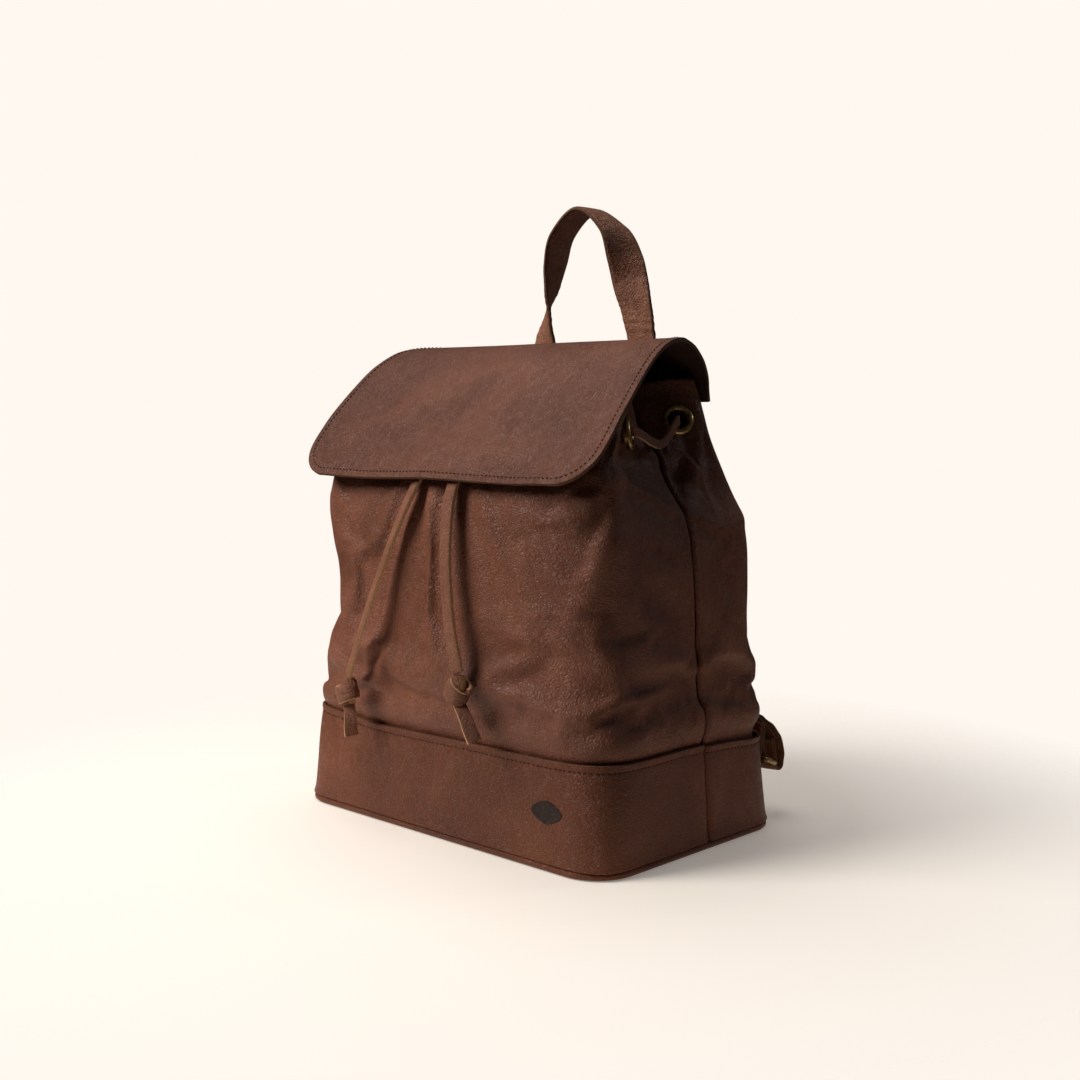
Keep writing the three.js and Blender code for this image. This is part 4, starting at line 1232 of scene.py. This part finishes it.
for side, sign in SIDES:
    body = f"{side}_strap"
    route = smooth_path([(sign * x, y, z) for x, y, z in STRAP_ROUTE], STRAP_STEPS)
    outward = stations(route, lambda s: (-1, 0, 0))

    def station(distance, lift=0.0, outward=outward):
        """A station of the route, by its distance in millimetres down from the buckle."""
        at = min(max((BUCKLE_AT + distance / STRAP_SPAN) * STRAP_STEPS, 0), STRAP_STEPS)
        low = min(int(at), STRAP_STEPS - 1)
        mixed = [a.lerp(b, at - low) for a, b in zip(outward[low], outward[low + 1])]
        return mixed[0] + mixed[2].normalized() * lift * MM, mixed[1].normalized(), mixed[2].normalized()

    first, heel = -BUCKLE_AT * STRAP_SPAN, -BUCKLE_HALF[1] - WIRE / 2 - 0.5

    def upper_width(s, first=first, heel=heel):
        return 32 - 10 * min((heel - first) * s / (-60 - first), 1)

    def upper_relief(s, a, sign=sign):
        return 0.35 * math.sin(s * 70 + a) * math.sin(s * 11) + 0.3 * noise.noise(Vector((s * 9, a, sign)))

    steps = 110
    upper_places = [station(first + (heel - first) * i / steps) for i in range(steps + 1)]
    tucked = [Vector((sign * 32, on_shell(sign * 32, z)[0].y + 1.7, z)) for z in (250, 244, 238)]
    joined = [tuple(p / MM) for p, _, _ in upper_places[4:24:4]]
    tuck_path = smooth_path([*tucked, *joined], 40)
    knee = min(range(41), key=lambda i: (tuck_path[i] - upper_places[12][0]).length)
    tuck_places = stations(tuck_path[:knee], lambda s: (-1, 0, 0))
    upper_places = tuck_places + upper_places[12:]
    span = len(upper_places) - 1

    def upper_wide(s, width=upper_width, tucks=len(tuck_places), span=span):
        return width(max(s * span - tucks, 0) / (span - tucks) * 0.9 + 0.1)

    upper = strap(f"upper_strap_{side}", upper_places, upper_wide, 3.0, strap_leather, cut_edge,
                  upper_relief)
    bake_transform(upper)
    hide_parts(f"strap_upper_{side}")
    for edge, offset in (("inner", -1), ("outer", 1)):
        def strap_seam(s, offset=offset, first=first, heel=heel):
            p, across, normal = station(first + 14 + (heel - 16 - first) * s)
            wide = upper_width(0.13 + 0.87 * s)
            return (p + (across * offset * (wide / 2 - 2.8) + normal * 1.75) * MM) / MM

        def strap_up(s, first=first, heel=heel):
            return station(first + (heel - first) * s)[2]

        seam = stitch_run(f"upper_strap_stitches_{edge}_{side}",
                          along_line(strap_seam, strap_up, STITCH_PITCH, 500), STITCH_PITCH, thread_dark,
                          None)
        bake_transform(seam)

    steps = 120
    distances = [LOWER_REACH[0] + (LOWER_REACH[1] - LOWER_REACH[0]) * i / steps for i in range(steps + 1)]
    lower = strap(f"lower_strap_{side}", [station(d, strap_lift(d)) for d in distances],
                  lambda s: LOWER_WIDTH * (0.72 + 0.28 * min(s / 0.05, 1)), LOWER_THICKNESS, strap_leather,
                  cut_edge, lambda s, a: 0.3 * math.sin(s * 60 + a) * smoothstep(0.5, 0.7, s))
    for distance in HOLES_AT:
        p, across, normal = station(distance - (3.6 if distance == 0 else 0), strap_lift(distance))
        bpy.ops.object.select_all(action="DESELECT")
        bpy.ops.mesh.primitive_cylinder_add(radius=2 * MM, depth=14 * MM, vertices=20)
        punch = bpy.context.object
        punch.data.transform(Matrix.Diagonal((1, 3.2 if distance == 0 else 1, 1, 1)))
        turn = Matrix((across, normal.cross(across), normal)).transposed().to_4x4()
        punch.data.transform(Matrix.Translation(p) @ turn)
        apply_modifier(lower, "BOOLEAN", object=punch, solver="EXACT")
        bpy.data.objects.remove(punch)
    lower.data.materials.clear()
    for material in (strap_leather, cut_edge):
        lower.data.materials.append(material)
    pick(lower)
    bpy.ops.object.shade_smooth_by_angle(angle=SHARP)
    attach(lower, body)
    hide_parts(f"strap_lower_{side}")

    # the keeper: a narrow stitched loop of leather round both layers
    p, across, normal = station(-26)
    along = across.cross(normal)
    ring = []
    for k in range(40):
        angle = k / 40 * 2 * math.pi
        a = math.copysign(min(abs(math.cos(angle)) ** 0.45, 1), math.cos(angle)) * 13.4
        h = 2 + math.copysign(abs(math.sin(angle)) ** 0.55, math.sin(angle)) * 5.2
        ring.append(p + (across * a + normal * h) * MM)
    centre = p + normal * 2 * MM
    keeper_places = []
    for k in range(41):
        here, after, before = ring[k % 40], ring[(k + 1) % 40], ring[k - 1]
        tangent = (after - before).normalized()
        outwards = (here - centre).normalized()
        face = (outwards - tangent * outwards.dot(tangent)).normalized()
        keeper_places.append((here, face.cross(tangent), face))
    keeper = strap(f"keeper_loop_{side}", keeper_places, lambda s: 9, 1.5, strap_leather, cut_edge)
    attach(keeper, body)
    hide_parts(f"strap_keeper_{side}")

    # the buckle: a round-wire frame and a prong curled round its heel bar
    p, across, normal = station(0)
    down = normal.cross(across) if normal.cross(across).z < 0 else across.cross(normal)
    half_x, half_y = BUCKLE_HALF
    frame_line = []
    for cx, cy, start in ((1, 1, 0), (-1, 1, 90), (-1, -1, 180), (1, -1, 270)):
        for k in range(7):
            angle = math.radians(start + k * 15)
            x = cx * (half_x - 3) + 3 * math.cos(angle)
            y = cy * (half_y - 3) + 3 * math.sin(angle)
            frame_line.append(p + (across * x + down * y) * MM)
    buckle = wire(f"buckle_{side}", frame_line, WIRE, antique_brass)
    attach(buckle, body)
    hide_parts(f"buckle_frame_{side}")
    prong_line = []
    for k in range(12):
        angle = math.radians(250 - k * 30)
        prong_line.append(p + (down * (-half_y + PRONG_CURL * math.cos(angle))
                               + normal * PRONG_CURL * math.sin(angle)) * MM)
    for y, h in ((-half_y + 4.5, 1.9), (-2, 2.1), (4, 2.7), (half_y, 3.1), (half_y + 1.4, 2.9)):
        prong_line.append(p + (down * y + normal * h) * MM)
    prong = wire(f"prong_{side}", prong_line, 0.95, antique_brass, closed=False)
    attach(prong, f"{side}_prong")
    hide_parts(f"buckle_prong_{side}")

# ---- Corner rings ------------------------------------------------------------------------------------
# A brass D-ring at each back corner of the base, in a tab folded round its bar and sewn to the band.
# The shoulder strap's end is doubled back round the ring's bow.
RING = {"x": 118, "y": 98.6, "z": 40, "wire": 1.7, "half": 11, "depth": 13, "tilt": -22}
orange_leather = leather("orange_brown_strap_back", "86502f", "55301c", "a06a43", 1.8, 0.5, 0.6)

for side, sign in SIDES:
    half, depth, tilt = RING["half"], RING["depth"], math.radians(RING["tilt"])
    outline = [(-half, 0), (-half / 2, 0), (0, 0), (half / 2, 0), (half, 0), (half, depth * 0.45),
               (half * 0.72, depth * 1.05), (0, depth * 1.3), (-half * 0.72, depth * 1.05),
               (-half, depth * 0.45), (-half, 0)]
    ring_line = smooth_path([(sign * RING["x"] + a, RING["y"] + d * math.cos(tilt),
                              RING["z"] + d * math.sin(tilt)) for a, d in outline], 96)[:-1]
    d_ring = wire(f"corner_ring_{side}", ring_line, RING["wire"], antique_brass)
    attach(d_ring, f"{side}_ring")
    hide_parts(f"d_ring_{side}")

    # the strap's end: through the ring, round its bow and up over the strap again
    fold_path = smooth_path([(sign * x, y, z) for x, y, z in (
        (116, 110.5, 50), (118, 110, 42), (118.3, 110.3, 35.8), (118.3, 113.2, 30.6), (118.3, 117.6, 31.8),
        (118.2, 119.6, 38), (117, 120, 46), (113.5, 118.6, 54), (107.5, 114.8, 61),
        (102, 110.2, 66.5))], 110)
    fold = strap(f"strap_fold_{side}", stations(fold_path, lambda s: (1, 0, 0)), lambda s: LOWER_WIDTH,
                 LOWER_THICKNESS, orange_leather, cut_edge, lambda s, a: 0.25 * math.sin(s * 50 + a * 2))
    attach(fold, f"{side}_strap")

    # the tab: up the band, and round the bar at its foot
    reach = RING["wire"] + 2.0
    tab_line = [Vector((sign * RING["x"], 96.2, RING["z"] + z)) for z in (25.5, 20, 14, 8)]
    for k in range(11):
        angle = math.radians(158 + k * 25)
        tab_line.append(Vector((sign * RING["x"], RING["y"] + reach * math.cos(angle),
                                RING["z"] + reach * math.sin(angle))))
    tab_line += [Vector((sign * RING["x"], 99.4, RING["z"] + z)) for z in (8, 14, 20, 24.5)]
    tab_path = smooth_path(tab_line, 90)
    tab = strap(f"ring_tab_{side}", stations(tab_path, lambda s: (1, 0, 0)), lambda s: 15, 2.4,
                band_leather, cut_edge)
    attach(tab, "bag")
    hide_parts(f"ring_tab_{side}")

# ---- Blank mark on the band ----------------------------------------------------------------------------
# A small debossed lozenge, left blank, near the right-hand end of the band's front.
MARK = {"x": 99, "z": 36, "half": (13, 7)}


def band_place(x, z):
    """The band's outside at a place on its front, found by halving."""
    low, high = 0.0, 1.0
    share = (z - BAND_BOTTOM) / (band_top("front", 0.4) - BAND_BOTTOM)
    for _ in range(24):
        middle = (low + high) / 2
        if on_band("front", middle, share).x < x:
            low = middle
        else:
            high = middle
    return on_band("front", low, share)


mark_leather = leather("pressed_dark_leather", "2b1712", "1c0e0a", "38221a", 1.4, 0.55, 0.5)
rings = [(0.0, -0.1), (0.35, -0.1), (0.7, -0.1), (0.84, -0.05), (0.9, 0.3), (0.95, 0.42), (1.0, 0.3),
         (1.03, -0.6)]
vertices = []
spokes = 64
for share, lift in rings:
    for k in range(spokes):
        angle = k / spokes * 2 * math.pi
        c, d = math.cos(angle), math.sin(angle)
        size = share / (abs(c) ** 1.5 + abs(d) ** 1.5) ** (1 / 1.5)
        p = band_place(MARK["x"] + c * size * MARK["half"][0], MARK["z"] + d * size * MARK["half"][1])
        ahead = band_place(MARK["x"] + c * size * MARK["half"][0] + 1, p.z)
        outwards = Vector((ahead.y - p.y, -(ahead.x - p.x), 0)).normalized()
        vertices.append((p + outwards * (lift + 0.15)) * MM)
mark = new_object("blank_lozenge", vertices, grid_faces(len(rings) - 1, spokes, closed=True),
                  [mark_leather])
tidy_faces(mark)
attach(mark, "bag")
